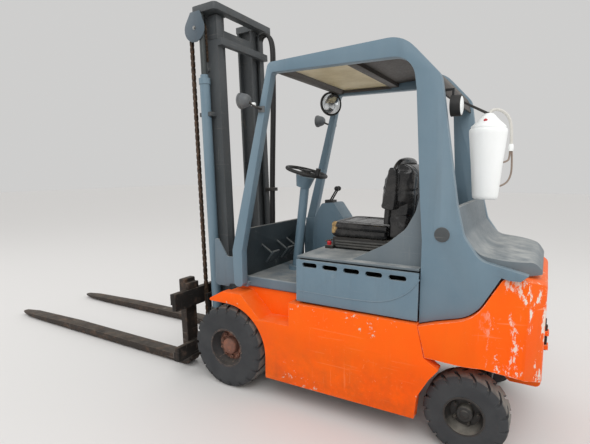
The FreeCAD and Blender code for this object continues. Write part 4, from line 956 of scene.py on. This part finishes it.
fitting = turned_form([(1.672, 0.001), (1.672, 0.012), (1.684, 0.014), (1.700, 0.014), (1.712, 0.011), (1.712, 0.001)],
                      TANK + Vector((-0.118, -0.055, 0)), "Z", 16)
new_piece("tank_fitting", *fitting, "chassis", TANK_WHITE, SLOT_OF["water_tank"])
for label, route in (("short", ((-0.114, -0.053, 1.680), (-0.114, -0.053, 1.640), (-0.105, -0.046, 1.612),
                                (-0.074, -0.030, 1.606))),
                     ("long", ((-0.122, -0.057, 1.680), (-0.128, -0.058, 1.600), (-0.126, -0.054, 1.530),
                               (-0.100, -0.040, 1.480), (-0.064, -0.026, 1.470)))):
    hose(f"tank_hose_{label}", [TANK + Vector(spot) for spot in route], 0.0052, "chassis", TUBE_BROWN)

# %% [markdown]
# A bead is pressed into each side cover. It runs low along the cover and rises in a wide curve
# to the rear, where it stiffens the sheet round the hinge side.

# %% Pressed bead of the side covers
for name, side in SIDES:
    bead = [on_truck(x, side * 0.5675, z) for x, z in ((-0.572, 0.794), (-0.750, 0.790), (-0.930, 0.787),
                                                       (-1.140, 0.798), (-1.255, 0.850), (-1.318, 0.905),
                                                       (-1.352, 0.962))]
    hose(f"cover_bead_{name}", bead, 0.0035, body_of_node(f"side_cover_{name}"), COVER_GREY)

# %% [markdown]
# The seat stands on a grey rubber bellows that hides its springs. Its folds are rings with
# rounded corners, a little wider than the base inside them.

# %% Seat bellows
BASE_LOW, BASE_HIGH = (Vector(corner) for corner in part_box("seat_base"))
BELLOWS = rubber("bellows_rubber", colour(62, 63, 62), colour(104, 101, 95), 0.7, 0.7, 18)


def rounded_plan(low, high, grow, corner=0.05):
    """A plan outline with round corners, drawn round a box."""
    outline = []
    for cx, cy, turn in ((high.x, high.y, 0), (low.x, high.y, 90), (low.x, low.y, 180), (high.x, low.y, 270)):
        inward = (corner - grow) * Vector((-1 if cx == high.x else 1, -1 if cy == high.y else 1))
        for step in range(4):
            angle = math.radians(turn + 30 * step)
            outline.append((cx + inward.x + corner * math.cos(angle), cy + inward.y + corner * math.sin(angle)))
    return outline


folds = []
for index in range(3):
    level = BASE_HIGH.z - 0.018 - 0.019 * index
    folds.append(flat_form(rounded_plan(BASE_LOW, BASE_HIGH, 0.009 - 0.002 * index), level - 0.0145, level,
                           lambda a, b, z: Vector((a, b, z))))
new_piece("seat_bellows", *joined(folds), body_of_node("seat_base"), BELLOWS, SLOT_OF["seat_base"], (), 40.0, 0.005)

# %% [markdown]
# Rolled bolsters edge the seat, where the vinyl is stretched over a thicker strip of foam. The
# seat's adjuster, with a red knob and a bright lever, sits on the lid in front of it.

# %% Bolsters and adjuster
BACK_ROLL = ((-1.046, 0.212, 1.215), (-1.052, 0.218, 1.350), (-1.080, 0.216, 1.510), (-1.102, 0.188, 1.602),
             (-1.114, 0.095, 1.622))
SEAT_ROLL = ((-1.045, 0.214, 1.178), (-0.860, 0.220, 1.181), (-0.700, 0.216, 1.184), (-0.652, 0.182, 1.183),
             (-0.646, 0.090, 1.180))
for name, roll, node in (("back_roll", BACK_ROLL, "seat_backrest"), ("seat_roll", SEAT_ROLL, "seat_cushion")):
    route = [on_truck(*spot) for spot in roll] + [on_truck(x, -y, z) for x, y, z in reversed(roll)]
    made = hose(name, route, 0.025, body_of_node(node), TORN)
rail = flat_form([(-0.655, 0.060), (-0.596, 0.060), (-0.596, 0.215), (-0.655, 0.215)], 1.0165, 1.040,
                 lambda a, b, z: on_truck(a, b, z))
new_piece("seat_adjuster", *rail, body_of_node("seat_base"), BLACK_PAINT, SLOT_OF["seat_base"], (), 35.0, 0.004)
knob = turned_form([(1.038, 0.001), (1.038, 0.014), (1.058, 0.017), (1.066, 0.012), (1.067, 0.001)],
                   on_truck(-0.622, 0.196, 0), "Z", 20)
new_piece("adjuster_knob", *knob, body_of_node("seat_base"), BUTTON_RED, SLOT_OF["seat_base"])
hose("adjuster_lever", [on_truck(-0.640, 0.080, 1.036), on_truck(-0.640, 0.080, 1.062), on_truck(-0.600, 0.130, 1.064),
                        on_truck(-0.575, 0.170, 1.058)],
     0.0055, body_of_node("seat_base"), ROD_CHROME)
for name, side in SIDES:
    plug = turned_form([(side * 0.554, 0.001), (side * 0.554, 0.0405), (side * 0.5572, 0.0395), (side * 0.5592, 0.030),
                        (side * 0.5592, 0.001)], on_truck(-1.458, 0, 1.220), "Y", 32)
    new_piece(f"pivot_plug_{name}", *plug, "chassis", MAST_PAINT, SLOT_OF[f"guard_{name}"])

# %% [markdown]
# Soft studio light: one large lamp high on the camera's side, one weaker fill and a pale sky.

# %% Floor and light


def lamp(name, place, aim, size, power):
    data = bpy.data.lights.new(name, "AREA")
    data.size = size
    data.energy = power
    item = bpy.data.objects.new(name, data)
    bpy.context.scene.collection.objects.link(item)
    item.location = place
    item.rotation_euler = (Vector(aim) - Vector(place)).to_track_quat("-Z", "Y").to_euler()
    return item


bpy.ops.object.select_all(action="DESELECT")
bpy.ops.mesh.primitive_plane_add(size=60, location=(0, 0, 0))
floor = bpy.context.object
floor.name = "floor"
floor_material, floor_tree, floor_shader = start_material("pale_floor")
floor_shader.inputs["Base Color"].default_value = (0.66, 0.65, 0.64, 1)
floor_shader.inputs["Roughness"].default_value = 0.85
floor.data.materials.append(floor_material)

world = bpy.data.worlds.new("pale_sky")
bpy.context.scene.world = world
world.use_nodes = True
sky = world.node_tree.nodes["Background"]
rays = add(world.node_tree, "ShaderNodeLightPath")
seen = math_node(world.node_tree, "MAXIMUM", rays.outputs["Is Camera Ray"], rays.outputs["Is Glossy Ray"])
world.node_tree.links.new(ramp(world.node_tree, seen, 0, 1, 0.95, 0.62), sky.inputs["Strength"])
sky.inputs["Color"].default_value = (1, 0.995, 0.985, 1)
lamp("key", (-3.5, 5.5, 6.5), (0, 0, 1), 5.0, 210)
lamp("fill", (-6.0, -2.0, 4.5), (-0.5, 0, 1), 5.0, 60)
lamp("front", (5.5, 3.0, 5.0), (0.5, 0, 0.8), 5.0, 80)
